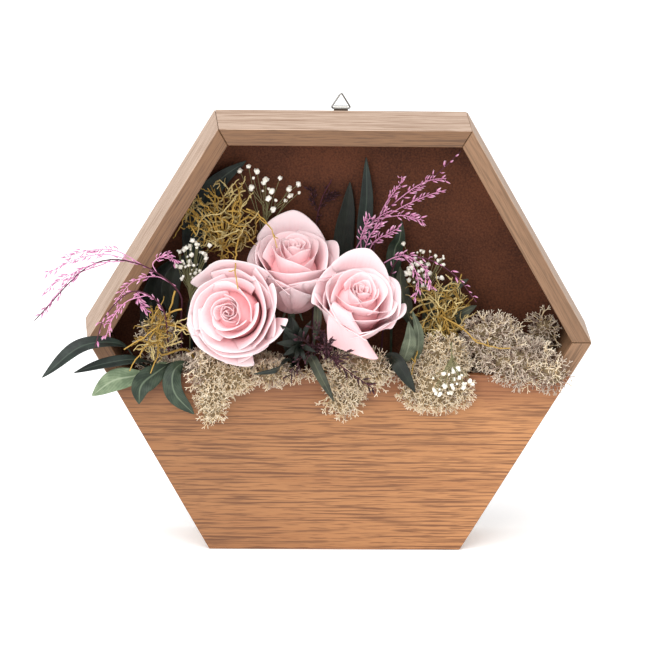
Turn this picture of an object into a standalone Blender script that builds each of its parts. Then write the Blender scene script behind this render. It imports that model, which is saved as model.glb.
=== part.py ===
"""Preserved flower hexagon frame.

An oak hexagon box frame, open in its upper half and closed by an oak front panel in its lower
half, with preserved roses, leaves, grasses and moss fixed in the pocket behind the panel.

Frame of the model: +X right, -Y to the viewer, +Z up. The origin is the centre of the underside
of the bottom board, on which the box stands. Points of the flowers are written in millimetres.
"""

import math
import random

import bmesh
import bpy
from mathutils import Vector, noise

MM = 0.001

# The box
SIDE = 0.150
BOX_DEPTH = 0.044
BOARD = 0.0102
CENTRE_Z = SIDE * math.sqrt(3) / 2
FRONT_Y = -BOX_DEPTH / 2
BACK_Y = BOX_DEPTH / 2
MITRE_GAP = 0.0003
GAP = 0.0003
REBATE = 0.005
REBATE_DEPTH = 0.0036
BACK_PANEL = 0.003
FRONT_PANEL = 0.006
FRONT_PANEL_TOP = 0.1094
FOAM_TOP = 0.090

# The hanger
STRAP_WIDTH = 0.0084
STRAP_THICKNESS = 0.0007
STRAP_LENGTH = 0.0092
LOOP_BORE = 0.0009
RING_WIRE = 0.0005
RING_WIDTH = 0.0120
RING_HEIGHT = 0.0096
RING_CORNER = 0.0008
SCREW_HEAD = 0.0026
SCREW_DROP = 0.0041

# The flowers
PETAL = 0.0010
LEAF = 0.0007
CLEARANCE = 0.0006
STEMS = {}
HOLES = []

# Lumps of each clump of moss: centre and radii in millimetres
MOSS = (
    ("moss_left_back", [((-107, -8, 130), (10, 8, 13)), ((-102, -2, 106), (13, 8, 17))]),
    ("moss_left_front", [((-98, -12, 110), (9, 7, 8)), ((-86, -8, 106), (12, 9, 14))]),
    (
        "moss_hanging",
        [((-76, -29, 99), (11, 7, 23)), ((-69, -20, 114), (17, 14, 9)), ((-61, -30, 108), (13, 7, 10))],
    ),
    ("moss_under_rose", [((-40, -28, 111), (15, 8, 8)), ((-44, -12, 110), (15, 14, 9))]),
    (
        "moss_centre",
        [((11, -29, 114), (22, 8, 12)), ((3, -29, 98), (14, 7, 15)), ((6, -12, 107), (22, 12, 12))],
    ),
    (
        "moss_front_right",
        [((58, -29, 102), (26, 9, 15)), ((58, -14, 112), (25, 14, 12)), ((62, -18, 124), (17, 8, 10))],
    ),
    (
        "moss_right",
        [((91, -8, 125), (20, 12, 19)), ((108, -18, 115), (23, 13, 13)), ((127, -27, 111), (12, 6, 9))],
    ),
    ("moss_right_back", [((124, 5, 129), (10, 8, 12)), ((113, 9, 112), (13, 7, 14))]),
)


def mm(*values):
    """A point given in millimetres, as a vector in metres."""
    return Vector(values) * MM


def clear_scene():
    """Remove every object that the file holds."""
    for obj in list(bpy.data.objects):
        bpy.data.objects.remove(obj, do_unlink=True)


def finish(name, colour, roughness, metallic=0.0):
    """A Principled material from an sRGB hex colour."""
    material = bpy.data.materials.new(name)
    material.use_nodes = True
    shader = material.node_tree.nodes["Principled BSDF"]
    channels = [int(colour[i : i + 2], 16) / 255 for i in (1, 3, 5)]
    linear = [c / 12.92 if c <= 0.04045 else ((c + 0.055) / 1.055) ** 2.4 for c in channels]
    shader.inputs["Base Color"].default_value = (*linear, 1.0)
    shader.inputs["Roughness"].default_value = roughness
    shader.inputs["Metallic"].default_value = metallic
    material.diffuse_color = (*linear, 1.0)
    return material


def add_object(name, mesh_data, material, smooth=None):
    """Link an object made from a bmesh, with its own material."""
    mesh = bpy.data.meshes.new(name)
    mesh_data.to_mesh(mesh)
    mesh_data.free()
    mesh.materials.clear()
    mesh.materials.append(material)
    if smooth is not None:
        mesh.shade_smooth()
        mesh.set_sharp_from_angle(angle=math.radians(smooth))
    obj = bpy.data.objects.new(name, mesh)
    bpy.context.scene.collection.objects.link(obj)
    return obj


def bevel(obj, width, segments=1):
    """Ease an object's edges with a Bevel modifier."""
    modifier = obj.modifiers.new("eased edges", "BEVEL")
    modifier.width = width
    modifier.segments = segments
    modifier.limit_method = "ANGLE"
    modifier.angle_limit = math.radians(40)


def closed(obj):
    """Whether every edge of the object's evaluated mesh has exactly two faces."""
    graph = bpy.context.evaluated_depsgraph_get()
    mesh_data = bmesh.new()
    mesh_data.from_mesh(obj.evaluated_get(graph).to_mesh())
    bmesh.ops.triangulate(mesh_data, faces=mesh_data.faces[:])
    whole = all(len(edge.link_faces) == 2 for edge in mesh_data.edges)
    mesh_data.free()
    return whole


def thin_out(obj, least):
    """Drop the slivers that Booleans leave: a Decimate modifier with the least share that stays closed."""
    modifier = obj.modifiers.new("slivers", "DECIMATE")
    for step in range(18):
        modifier.ratio = min(least + 0.025 * step, 1.0)
        if closed(obj):
            return obj
    modifier.decimate_type = "DISSOLVE"
    for degrees in (12, 9, 6, 3):
        modifier.angle_limit = math.radians(degrees)
        if closed(obj):
            return obj
    obj.modifiers.remove(modifier)
    return obj


def boolean(base, other, operation):
    """One EXACT Boolean of two bmeshes, as a new bmesh. Both inputs are freed."""
    first = add_object("boolean base", base, finish("temporary", "#808080", 0.5))
    second = add_object("boolean other", other, finish("temporary", "#808080", 0.5))
    modifier = first.modifiers.new("boolean", "BOOLEAN")
    modifier.operation = operation
    modifier.solver = "EXACT"
    modifier.object = second
    graph = bpy.context.evaluated_depsgraph_get()
    result = bmesh.new()
    result.from_mesh(first.evaluated_get(graph).to_mesh())
    for obj in (first, second):
        mesh = obj.data
        bpy.data.objects.remove(obj, do_unlink=True)
        bpy.data.meshes.remove(mesh)
    return result


def largest_body(mesh_data):
    """Keep only the connected body with the largest bounding box."""
    unseen = set(mesh_data.verts)
    bodies = []
    while unseen:
        stack = [unseen.pop()]
        body = set(stack)
        while stack:
            for edge in stack.pop().link_edges:
                for vert in edge.verts:
                    if vert in unseen:
                        unseen.remove(vert)
                        body.add(vert)
                        stack.append(vert)
        bodies.append(body)

    def diagonal(body):
        corner = [max(v.co[i] for v in body) - min(v.co[i] for v in body) for i in range(3)]
        return Vector(corner).length

    kept = max(bodies, key=diagonal)
    lost = [v for v in mesh_data.verts if v not in kept]
    bmesh.ops.delete(mesh_data, geom=lost, context="VERTS")
    return mesh_data


def fuse(parts):
    """Unite overlapping closed bmeshes into one closed body."""
    result = parts[0]
    for part in parts[1:]:
        result = boolean(result, part, "UNION")
    return largest_body(result)


def grown(mesh, distance):
    """A bmesh of a mesh, moved outwards by a distance."""
    mesh_data = bmesh.new()
    mesh_data.from_mesh(mesh)
    mesh_data.normal_update()
    moved = [v.co + v.normal * distance for v in mesh_data.verts]
    for vert, place in zip(mesh_data.verts, moved):
        vert.co = place
    return mesh_data


def prism(outline, front_y, rear_y):
    """A closed prism: an outline of (x, z) points, anticlockwise from the front, between two depths."""
    mesh_data = bmesh.new()
    front = [mesh_data.verts.new((x, front_y, z)) for x, z in outline]
    back = [mesh_data.verts.new((x, rear_y, z)) for x, z in outline]
    mesh_data.faces.new(front)
    mesh_data.faces.new(back[::-1])
    for i in range(len(outline)):
        j = (i + 1) % len(outline)
        mesh_data.faces.new((front[j], front[i], back[i], back[j]))
    bmesh.ops.recalc_face_normals(mesh_data, faces=mesh_data.faces[:])
    return mesh_data


def smooth_path(points, count):
    """Evenly spaced points along a Catmull-Rom curve through the given points."""
    path = [points[0] * 2 - points[1], *points, points[-1] * 2 - points[-2]]
    spans = len(points) - 1
    fine = 10 * spans
    found = []
    for k in range(fine + 1):
        along = k / fine * spans
        i = min(int(along), spans - 1)
        t = along - i
        a, b, c, d = path[i : i + 4]
        found.append(
            0.5
            * (
                2 * b
                + (c - a) * t
                + (2 * a - 5 * b + 4 * c - d) * t * t
                + (3 * b - a - 3 * c + d) * t**3
            )
        )
    reached = [0.0]
    for before, after in zip(found, found[1:]):
        reached.append(reached[-1] + (after - before).length)
    even = []
    i = 0
    for k in range(count + 1):
        wanted = reached[-1] * k / count
        while i < fine - 1 and reached[i + 1] < wanted:
            i += 1
        share = (wanted - reached[i]) / max(reached[i + 1] - reached[i], 1e-9)
        even.append(found[i].lerp(found[i + 1], share))
    return even


def tube(points, radii, sides):
    """A closed tube through the points, with a radius at each."""
    mesh_data = bmesh.new()
    rings = []
    side = None
    for i, point in enumerate(points):
        before, after = points[max(i - 1, 0)], points[min(i + 1, len(points) - 1)]
        along = (after - before).normalized()
        if side is None:
            side = along.orthogonal().normalized()
        side = (side - along * side.dot(along)).normalized()
        third = along.cross(side)
        rings.append(
            [
                mesh_data.verts.new(
                    point
                    + side * math.cos(2 * math.pi * k / sides) * radii[i]
                    + third * math.sin(2 * math.pi * k / sides) * radii[i]
                )
                for k in range(sides)
            ]
        )
    for lower, upper in zip(rings, rings[1:]):
        for k in range(sides):
            n = (k + 1) % sides
            mesh_data.faces.new((lower[k], lower[n], upper[n], upper[k]))
    mesh_data.faces.new(rings[0][::-1])
    mesh_data.faces.new(rings[-1])
    bmesh.ops.recalc_face_normals(mesh_data, faces=mesh_data.faces[:])
    return mesh_data


def shell(grid, thickness):
    """A closed sheet of even thickness around a grid of points."""
    rows, columns = len(grid), len(grid[0])

    def normal(i, j):
        across = grid[i][min(j + 1, columns - 1)] - grid[i][max(j - 1, 0)]
        along = grid[min(i + 1, rows - 1)][j] - grid[max(i - 1, 0)][j]
        return across.cross(along).normalized()

    mesh_data = bmesh.new()
    layers = []
    for sign in (0.5, -0.5):
        layers.append(
            [
                [
                    mesh_data.verts.new(grid[i][j] + normal(i, j) * thickness * sign)
                    for j in range(columns)
                ]
                for i in range(rows)
            ]
        )
    top, bottom = layers
    for i in range(rows - 1):
        for j in range(columns - 1):
            mesh_data.faces.new((top[i][j], top[i][j + 1], top[i + 1][j + 1], top[i + 1][j]))
            mesh_data.faces.new(
                (bottom[i + 1][j], bottom[i + 1][j + 1], bottom[i][j + 1], bottom[i][j])
            )
    rim = [(0, j) for j in range(columns - 1)]
    rim += [(i, columns - 1) for i in range(rows - 1)]
    rim += [(rows - 1, j) for j in range(columns - 1, 0, -1)]
    rim += [(i, 0) for i in range(rows - 1, 0, -1)]
    for k, (i, j) in enumerate(rim):
        m, n = rim[(k + 1) % len(rim)]
        mesh_data.faces.new((top[m][n], top[i][j], bottom[i][j], bottom[m][n]))
    bmesh.ops.recalc_face_normals(mesh_data, faces=mesh_data.faces[:])
    return mesh_data


def ball(centre, radii, roughness=0.0, subdivisions=2, seed=0):
    """A closed ellipsoid, with its surface moved by noise."""
    mesh_data = bmesh.new()
    bmesh.ops.create_icosphere(mesh_data, subdivisions=subdivisions, radius=1.0)
    shift = Vector((seed * 3.7, seed * 1.9, seed * 2.3))
    for vert in mesh_data.verts:
        swell = 1.0 + roughness * noise.noise(vert.co * 2.2 + shift)
        vert.co = centre + Vector(tuple(c * r * swell for c, r in zip(vert.co, radii)))
    return mesh_data


# The box frame


def hexagon(side):
    """Corners of the hexagon seen from the front, from the right corner, anticlockwise."""
    return [
        (side * math.cos(math.radians(60 * k)), CENTRE_Z + side * math.sin(math.radians(60 * k)))
        for k in range(6)
    ]


def build_boards(oak):
    """Six boards mitred at the corners, rebated at the back, cut back below for the front panel."""
    names = (
        "board_upper_right",
        "board_top",
        "board_upper_left",
        "board_lower_left",
        "board_bottom",
        "board_lower_right",
    )
    outer = hexagon(SIDE)
    inner_side = SIDE - BOARD / math.cos(math.radians(30))
    inner = hexagon(inner_side)
    rebate_outline = hexagon(inner_side + REBATE / math.cos(math.radians(30)))
    half_top = 0.5 * SIDE + FRONT_PANEL_TOP / math.sqrt(3)
    panel_room = [
        (-0.5 * SIDE - 0.01, -0.01),
        (0.5 * SIDE + 0.01, -0.01),
        (half_top + 0.02, FRONT_PANEL_TOP + GAP),
        (-half_top - 0.02, FRONT_PANEL_TOP + GAP),
    ]
    for k, name in enumerate(names):
        n = (k + 1) % 6
        along = (Vector(outer[n]) - Vector(outer[k])).normalized()
        inset = along * (MITRE_GAP / 2 / math.cos(math.radians(30)))
        outline = [
            Vector(outer[k]) + inset,
            Vector(outer[n]) - inset,
            Vector(inner[n]) - inset,
            Vector(inner[k]) + inset,
        ]
        body = prism([tuple(p) for p in outline], FRONT_Y, BACK_Y)
        rebate = prism(rebate_outline, BACK_Y - REBATE_DEPTH, BACK_Y + 0.01)
        body = boolean(body, rebate, "DIFFERENCE")
        if "lower" in name or "bottom" in name:
            room = prism(panel_room, FRONT_Y - 0.01, FRONT_Y + FRONT_PANEL + GAP)
            body = boolean(body, room, "DIFFERENCE")
        board = add_object(name, largest_body(body), oak(name))
        bevel(board, 0.0004)


def build_panels(oak):
    """The hardboard back in its rebate and the oak front over the lower half."""
    inner_side = SIDE - (BOARD - REBATE + GAP) / math.cos(math.radians(30))
    rebate_y = BACK_Y - REBATE_DEPTH + GAP
    back = prism(hexagon(inner_side), rebate_y, rebate_y + BACK_PANEL)
    add_object("back_panel", back, finish("hardboard", "#5A3629", 0.75))
    half_top = 0.5 * SIDE + FRONT_PANEL_TOP / math.sqrt(3)
    outline = [
        (-0.5 * SIDE, 0.0),
        (0.5 * SIDE, 0.0),
        (half_top, FRONT_PANEL_TOP),
        (-half_top, FRONT_PANEL_TOP),
    ]
    front = add_object(
        "front_panel", prism(outline, FRONT_Y, FRONT_Y + FRONT_PANEL), oak("front_panel")
    )
    bevel(front, 0.0004)


def build_foam(holes):
    """Dry floral foam that fills the pocket, with a hole for each stem."""
    inner_half = 0.5 * (SIDE - BOARD / math.cos(math.radians(30))) - 0.001
    low = BOARD + GAP
    outline = [
        (-inner_half, low),
        (inner_half, low),
        (inner_half + (FOAM_TOP - low) / math.sqrt(3), FOAM_TOP),
        (-inner_half - (FOAM_TOP - low) / math.sqrt(3), FOAM_TOP),
    ]
    body = prism(
        outline, FRONT_Y + FRONT_PANEL + 2 * GAP, BACK_Y - REBATE_DEPTH - GAP
    )
    for x, y, radius in holes:
        drill = [mm(x, y, 78.5), mm(x, y, 100)]
        body = boolean(body, tube(drill, [radius * MM] * 2, 5), "DIFFERENCE")
    add_object("foam_block", largest_body(body), finish("foam", "#4F5B45", 0.95))


def rounded_triangle(width, height, corner, steps):
    """Points of a triangle with rounded corners, base at z 0, in the XZ plane."""
    corners = [(-width / 2, 0.0), (width / 2, 0.0), (0.0, height)]
    path = []
    for i, point in enumerate(corners):
        here = Vector(point)
        before = (Vector(corners[i - 1]) - here).normalized()
        after = (Vector(corners[(i + 1) % 3]) - here).normalized()
        half = before.angle(after) / 2
        centre = here + (before + after).normalized() * corner / math.sin(half)
        start = here + before * corner / math.tan(half) - centre
        end = here + after * corner / math.tan(half) - centre
        sweep = math.pi - 2 * half
        turn = 1 if start.x * end.y - start.y * end.x > 0 else -1
        for k in range(steps + 1):
            a = turn * sweep * k / steps
            x = start.x * math.cos(a) - start.y * math.sin(a)
            z = start.x * math.sin(a) + start.y * math.cos(a)
            path.append(Vector((centre.x + x, centre.y + z)))
    return path


def build_hanger():
    """A strap folded round the ring's base bar, the triangle ring, and the strap's screw."""
    steel = finish("hanger steel", "#8A8F96", 0.32, 1.0)
    bar_y = BACK_Y + LOOP_BORE + STRAP_THICKNESS + 0.0004
    bar_z = 2 * CENTRE_Z + 0.0009
    # the strap's section: two leaves down the back board, joined by the loop round the bar
    outer_radius = LOOP_BORE + STRAP_THICKNESS
    foot_z = bar_z - STRAP_LENGTH
    plate_y = BACK_Y + GAP
    steps = 10
    outside = []
    for k in range(steps + 1):
        a = math.radians(-62 + 304 * k / steps)
        direction = Vector((math.cos(a), math.sin(a)))
        outside.append(Vector((bar_y, bar_z)) + direction * outer_radius)
    outer_y = plate_y + 2 * STRAP_THICKNESS + 0.0003
    outline = [(outer_y, foot_z), (outer_y, bar_z - 0.0012), *[tuple(p) for p in outside]]
    outline += [(plate_y, bar_z - 0.0012), (plate_y, foot_z)]
    solid = bmesh.new()
    half = STRAP_WIDTH / 2
    rings = []
    for x in (-half, half):
        rings.append([solid.verts.new((x, y, z)) for y, z in outline])
    solid.faces.new(rings[0])
    solid.faces.new(rings[1][::-1])
    for i in range(len(outline)):
        j = (i + 1) % len(outline)
        solid.faces.new((rings[0][i], rings[0][j], rings[1][j], rings[1][i]))
    bmesh.ops.recalc_face_normals(solid, faces=solid.faces[:])
    reach = Vector((0.01, 0.0, 0.0))
    centre = Vector((0.0, bar_y, bar_z))
    solid = boolean(solid, tube([centre - reach, centre + reach], [LOOP_BORE] * 2, 16), "DIFFERENCE")
    screw_z = bar_z - SCREW_DROP
    drill = [Vector((0.0, BACK_Y - 0.005, screw_z)), Vector((0.0, BACK_Y + 0.005, screw_z))]
    solid = boolean(solid, tube(drill, [0.0013] * 2, 12), "DIFFERENCE")
    add_object("hanger_strap", largest_body(solid), steel, smooth=35)

    # the ring lies in its own plane, upright, and turns about its base bar
    path = rounded_triangle(RING_WIDTH, RING_HEIGHT, RING_CORNER, 4)
    ring_mesh = bmesh.new()
    sides = 8
    loops = []
    for i, point in enumerate(path):
        along = (path[(i + 1) % len(path)] - path[i - 1]).normalized()
        out = Vector((along.y, -along.x))
        loop = []
        for k in range(sides):
            a = 2 * math.pi * k / sides
            offset = out * math.cos(a) * RING_WIRE
            loop.append(
                ring_mesh.verts.new(
                    (point.x + offset.x, math.sin(a) * RING_WIRE, point.y + offset.y)
                )
            )
        loops.append(loop)
    for i in range(len(loops)):
        lower, upper = loops[i], loops[(i + 1) % len(loops)]
        for k in range(sides):
            n = (k + 1) % sides
            ring_mesh.faces.new((lower[k], lower[n], upper[n], upper[k]))
    bmesh.ops.recalc_face_normals(ring_mesh, faces=ring_mesh.faces[:])
    ring = add_object("hanger_ring", ring_mesh, finish("ring steel", "#8A8F96", 0.3, 1.0), smooth=50)
    ring.location = (0.0, bar_y, bar_z)

    # pan head screw through the strap into the top board's back
    profile = [(0.0, 0.0), (SCREW_HEAD * 0.6, 0.0), (SCREW_HEAD, -0.0009), (SCREW_HEAD, -0.0013)]
    profile += [(0.0009, -0.0013), (0.0009, -0.0025), (0.0, -0.0025)]
    head = bmesh.new()
    turned = []
    for radius, height in profile:
        if radius == 0.0:
            turned.append([head.verts.new((0.0, -height, 0.0))])
            continue
        turned.append(
            [
                head.verts.new(
                    (
                        radius * math.cos(math.pi * k / 6),
                        -height,
                        radius * math.sin(math.pi * k / 6),
                    )
                )
                for k in range(12)
            ]
        )
    for lower, upper in zip(turned, turned[1:]):
        for k in range(12):
            n = (k + 1) % 12
            if len(lower) == 1:
                head.faces.new((lower[0], upper[k], upper[n]))
            elif len(upper) == 1:
                head.faces.new((lower[k], upper[0], lower[n]))
            else:
                head.faces.new((lower[k], upper[k], upper[n], lower[n]))
    for vert in head.verts:
        vert.co.y = -vert.co.y
    bmesh.ops.recalc_face_normals(head, faces=head.faces[:])
    screw = add_object("hanger_screw", head, finish("screw steel", "#9A9DA0", 0.35, 1.0), smooth=35)
    screw.location = (0.0, outer_y + 0.0013 + GAP, screw_z)


# The flowers


def frame_of(axis, turn):
    """Two directions square to an axis, turned about it, and the axis."""
    axis = axis.normalized()
    side = Vector((1.0, 0.0, 0.0))
    side = (side - axis * side.dot(axis)).normalized()
    third = axis.cross(side)
    c, s = math.cos(turn), math.sin(turn)
    return side * c + third * s, third * c - side * s, axis


def petal(place, axes, angle, span, foot, rim, flare, point=0.0, columns=3, rows=2):
    """One petal as a closed sheet.

    foot and rim are (radius, height) of its lower and upper edge about the flower's axis, span is
    half of the angle that it wraps, flare is how far its rim rolls out and point how far its middle
    stands above its corners, all in millimetres but the angles. One side edge lies further out
    than the other, so that petals of a ring overlap like shingles.
    """
    grid = []
    for i in range(rows + 1):
        v = i / rows
        width = span * (0.30 + 0.70 * math.sin(math.pi / 2 * min(v * 1.5, 1.0)))
        row = []
        for j in range(columns + 1):
            u = 2 * j / columns - 1
            a = angle + width * u
            rolled = flare * max(0.0, v - 0.6) / 0.4
            radius = foot[0] + (rim[0] - foot[0]) * math.sin(math.pi / 2 * v) ** 0.8 + rolled
            radius += 1.3 * u * v
            drop = (rim[1] - foot[1]) * 0.16 * u * u * v * v
            height = foot[1] + (rim[1] - foot[1]) * v - drop - 0.35 * rolled
            height += point * (1 - abs(u)) * v**3
            row.append(
                place
                + (axes[0] * math.cos(a) + axes[1] * math.sin(a)) * radius * MM
                + axes[2] * height * MM
            )
        grid.append(row)
    return shell(grid, PETAL)


def flower_core(place, axes, profile, sides=10):
    """The bud and the closely packed inner petals, as one turned closed body."""
    mesh_data = bmesh.new()
    rings = []
    for radius, height in profile:
        rings.append(
            [
                mesh_data.verts.new(
                    place
                    + (
                        axes[0] * math.cos(2 * math.pi * k / sides)
                        + axes[1] * math.sin(2 * math.pi * k / sides)
                    )
                    * radius
                    * MM
                    + axes[2] * height * MM
                )
                for k in range(sides)
            ]
        )
    for lower, upper in zip(rings, rings[1:]):
        for k in range(sides):
            n = (k + 1) % sides
            mesh_data.faces.new((lower[k], lower[n], upper[n], upper[k]))
    mesh_data.faces.new(rings[0][::-1])
    mesh_data.faces.new(rings[-1])
    bmesh.ops.recalc_face_normals(mesh_data, faces=mesh_data.faces[:])
    return mesh_data


def build_rose(name, base, axis, tall, stem_foot, petals, folded=None):
    """A rose head on its stem: core, bud petals and the listed outer petals, fused."""
    place = mm(*base)
    axes = frame_of(Vector(axis), 0.0)
    profile = [(2.2, -3.0), (8.0, 2.5), (13.0, 10.0), (15.5, 21.0), (14.0, 30.0), (10.0, 34.0)]
    parts = [flower_core(place, axes, [(r, h * tall) for r, h in profile])]
    bud = [(7.0, 29.0), (6.2, 37.5), (4.6, 41.5), (2.0, 43.0)]
    parts.append(flower_core(place, axes, [(r, h * tall) for r, h in bud], 8))
    for angle, span, foot, rim, flare, point in petals:
        parts.append(
            petal(
                place,
                axes,
                math.radians(angle),
                math.radians(span),
                (foot[0], foot[1] * tall),
                (rim[0], rim[1] * tall),
                flare,
                point,
            )
        )
    if folded:
        parts.append(shell([[mm(*p) for p in row] for row in folded], PETAL))
    feet = [mm(*p) for p in plant(*stem_foot, 3.0)]
    path = smooth_path([*feet, place - axes[2] * 0.008, place + axes[2] * 0.002], 6)
    STEMS[name] = (path[:-1], 0.0016)
    parts.append(tube(path, [0.0016] * len(path), 5))
    rose = add_object(name, fuse(parts), finish(name + " petals", "#F6D5DC", 0.6), smooth=40)
    return thin_out(rose, 0.4)


def inner_petals(start, rings):
    """Rings of upright petals: (count, foot, rim, span, flare) each."""
    found = []
    for ring, (count, foot, rim, span, flare) in enumerate(rings):
        for k in range(count):
            found.append((start + 360 * k / count + 47 * ring, span, foot, rim, flare, 0.5))
    return found


def build_roses():
    """The three preserved roses."""
    middle = [
        (3, (8.5, 18.0), (11.5, 41.5), 64, 0.6),
        (4, (11.0, 12.0), (17.5, 38.5), 50, 1.4),
    ]
    left = inner_petals(20, middle) + [
        (98, 46, (7, 3), (26.0, 31.0), 4.5, 4.5),
        (170, 48, (7, 3), (20.5, 34.0), 3.5, 2.0),
        (240, 46, (7, 3), (24.0, 32.0), 4.5, 3.5),
        (305, 44, (7, 3), (24.5, 31.0), 4.5, 3.5),
        (15, 44, (7, 3), (23.0, 34.0), 4.0, 2.0),
    ]
    wider = [middle[0], (4, (11.8, 12.0), (18.3, 38.5), 50, 1.4)]
    centre = inner_petals(66, wider) + [
        (92, 46, (7, 3), (21.5, 46.0), 2.5, 5.0),
        (168, 46, (7, 3), (21.5, 40.0), 3.5, 2.0),
        (238, 50, (7, 3), (20.5, 34.0), 3.5, 0.5),
        (300, 48, (7, 3), (21.5, 35.0), 3.5, 0.5),
        (10, 38, (7, 3), (22.0, 38.0), 4.0, 3.0),
    ]
    right = inner_petals(80, middle) + [
        (84, 44, (7, 3), (21.5, 46.0), 2.5, 5.0),
        (155, 46, (7, 3), (20.0, 36.0), 3.0, 1.0),
        (310, 46, (7, 3), (21.5, 34.0), 3.5, 3.0),
        (15, 46, (7, 3), (22.0, 36.0), 3.5, 3.0),
        (235, 46, (7, 3), (20.5, 33.0), 3.0, 1.0),
    ]
    folded = [
        [(-3, -27, 150), (1, -30, 149), (6, -32, 148)],
        [(-10, -44, 161), (-3, -50, 160), (3, -51, 157)],
        [(-13, -45, 135), (4, -51, 131), (21, -51, 127)],
    ]
    build_rose("rose_left", (-55.5, -9, 142.5), (-0.32, -0.90, 0.29), 1.0, (-55, 3), left)
    build_rose("rose_centre", (-27.5, 2, 142), (0, -0.35, 0.94), 1.16, (-26, 7), centre)
    build_rose("rose_right", (4.3, -19.3, 136), (0.20, -0.55, 0.81), 0.95, (6, 0), right, folded)


def leaf_blade(points, half_width, facing, fold=0.22, segments=6, petiole=0.5, tip=0.06):
    """A leaf with its petiole: a folded blade along a curve, as a closed sheet."""
    path = smooth_path([mm(*p) for p in points], segments)
    facing = Vector(facing).normalized()
    grid = []
    for i, point in enumerate(path):
        t = i / segments
        before, after = path[max(i - 1, 0)], path[min(i + 1, segments)]
        along = (after - before).normalized()
        side = along.cross(facing).normalized()
        normal = side.cross(along)
        if t < petiole:
            width = 0.9
        else:
            run = (t - petiole) / (1 - petiole)
            width = max(half_width * math.sin(math.pi * min(0.08 + run * 0.92, 1.0)) ** 0.75, tip * 6)
        reach = width * MM
        grid.append([point - side * reach, point - normal * fold * reach, point + side * reach])
    return shell(grid, LEAF)


def build_leaves():
    """Every leaf, each on its own stem."""
    dark = "#20332C"
    def over_edge(x_foot, x_edge, *rest):
        """Points of a petiole from the foam up and over the front panel's top edge."""
        return [*plant(x_foot, -9), (x_foot, -11, 106), (x_edge, -18.5, 115.0), *rest]

    back = (0, -1, 0.1)
    table = [
        (
            "leaf_far_left",
            over_edge(-103, -119, (-130, -29, 130), (-154, -40, 132), (-177, -50, 115)),
            6.0, (0, -0.5, 0.9), dark,
        ),
        (
            "leaf_left_low",
            over_edge(-98, -112, (-124, -31, 121), (-142, -38, 120), (-158, -43, 116)),
            4.0, (0, -0.7, 0.7), dark,
        ),
        (
            "leaf_pale",
            over_edge(-93.5, -104.5, (-119, -27, 110), (-134, -32, 108), (-147, -37, 100)),
            6.5, (0.2, -1, 0.3), "#9AAE8C",
        ),
        (
            "leaf_drooping",
            over_edge(-88.5, -98, (-110, -29, 111), (-118, -34, 105), (-119, -34, 94)),
            6.5, back, dark,
        ),
        (
            "leaf_long",
            over_edge(-83, -91, (-99, -28, 112), (-98, -32, 100), (-86, -31, 87)),
            6.0, (-0.3, -1, 0.1), "#2C443A",
        ),
        (
            "leaf_upper_left",
            [*plant(-86, 13), (-86, 13.5, 190), (-74, 13, 216), (-56, 13, 231)],
            7.5, (0, -1, 0.2), dark,
        ),
        (
            "leaf_tall",
            [*plant(14, 11), (15, 12, 185), (16, 12, 210), (15, 12.5, 234)],
            5.0, back, dark,
        ),
        (
            "leaf_behind",
            [*plant(-1, 14), (3, 14.5, 180), (5, 15, 200), (6, 15, 218)],
            6.5, (0.1, -1, 0.1), dark,
        ),
        (
            "leaf_left_inside",
            [*plant(-96, 9), (-110, 8, 132), (-108, 8, 156), (-97, 10, 172)],
            7.5, (0.2, -1, 0.2), "#1C2C27",
        ),
        (
            "leaf_right_inside",
            [*plant(52, 9), (56, 9, 138), (66, 9, 152), (78, 9, 160)],
            5.5, (0, -1, 0.3), "#2A352B",
        ),
        (
            "leaf_grey_front",
            over_edge(31, 35, (38, -30, 122), (40, -41, 137), (38.5, -46.5, 150)),
            4.6, back, "#5F6F5C",
        ),
        (
            "leaf_grey_back",
            over_edge(41, 43, (46, -25, 124), (46, -29, 138), (42, -29, 151)),
            3.4, (0.3, -1, 0.1), "#55654F",
        ),
        (
            "leaf_narrow",
            over_edge(-19, -19, (-18, -32, 124), (-12, -42, 114), (-4, -42, 99)),
            3.4, (0.2, -1, 0.1), "#3A4A3A",
        ),
        (
            "leaf_under_left",
            over_edge(-34, -32, (-32, -30, 121), (-38, -44, 119), (-52, -47, 117)),
            3.4, (0, -0.8, -0.5), dark,
        ),
        (
            "leaf_dark_right",
            over_edge(23, 26, (31, -38, 124), (38, -43, 115), (44, -43, 105)),
            4.5, (0, -1, 0.2), dark,
        ),
        (
            "leaf_centre_dark",
            [*plant(-26, -5), (-26, -12, 118), (-29, -20, 130), (-30, -24, 146)],
            5.5, (0.1, -1, 0.1), dark,
        ),
        (
            "leaf_round",
            [*plant(33, 11), (33, 11, 170), (36, 8, 184), (37, 8, 196)],
            4.5, back, "#3F5548",
        ),
    ]
    for name, points, width, facing, colour in table:
        segments = 8 if len(points) == 7 else 5
        bare = 0.62 if len(points) == 7 else 0.45
        blade = leaf_blade(points, width, facing, segments=segments, petiole=bare)
        path = smooth_path([mm(*p) for p in points], segments)
        STEMS[name] = (path[: math.ceil(bare * segments) + 1], 0.0015)
        add_object(name, blade, finish(name + " green", colour, 0.5), smooth=60)


def stem_tube(points, thick, thin, steps, sides=3, name=None):
    """A tapering stem through points given in millimetres; a name keeps room for it in the moss."""
    path = smooth_path([mm(*p) for p in points], steps)
    if name:
        STEMS[name] = (path[:] , thick * MM)
    radii = [(thick + (thin - thick) * i / steps) * MM for i in range(steps + 1)]
    return tube(path, radii, sides)


def spike(foot, direction, length, radius):
    """A small closed spindle, as a spikelet or a bud, that starts inside its stem."""
    direction = direction.normalized()
    points = [
        foot - direction * 0.3 * MM,
        foot + direction * length * 0.45 * MM,
        foot + direction * length * MM,
    ]
    return tube(points, [0.25 * MM, radius * MM, 0.15 * MM], 3)


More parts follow.
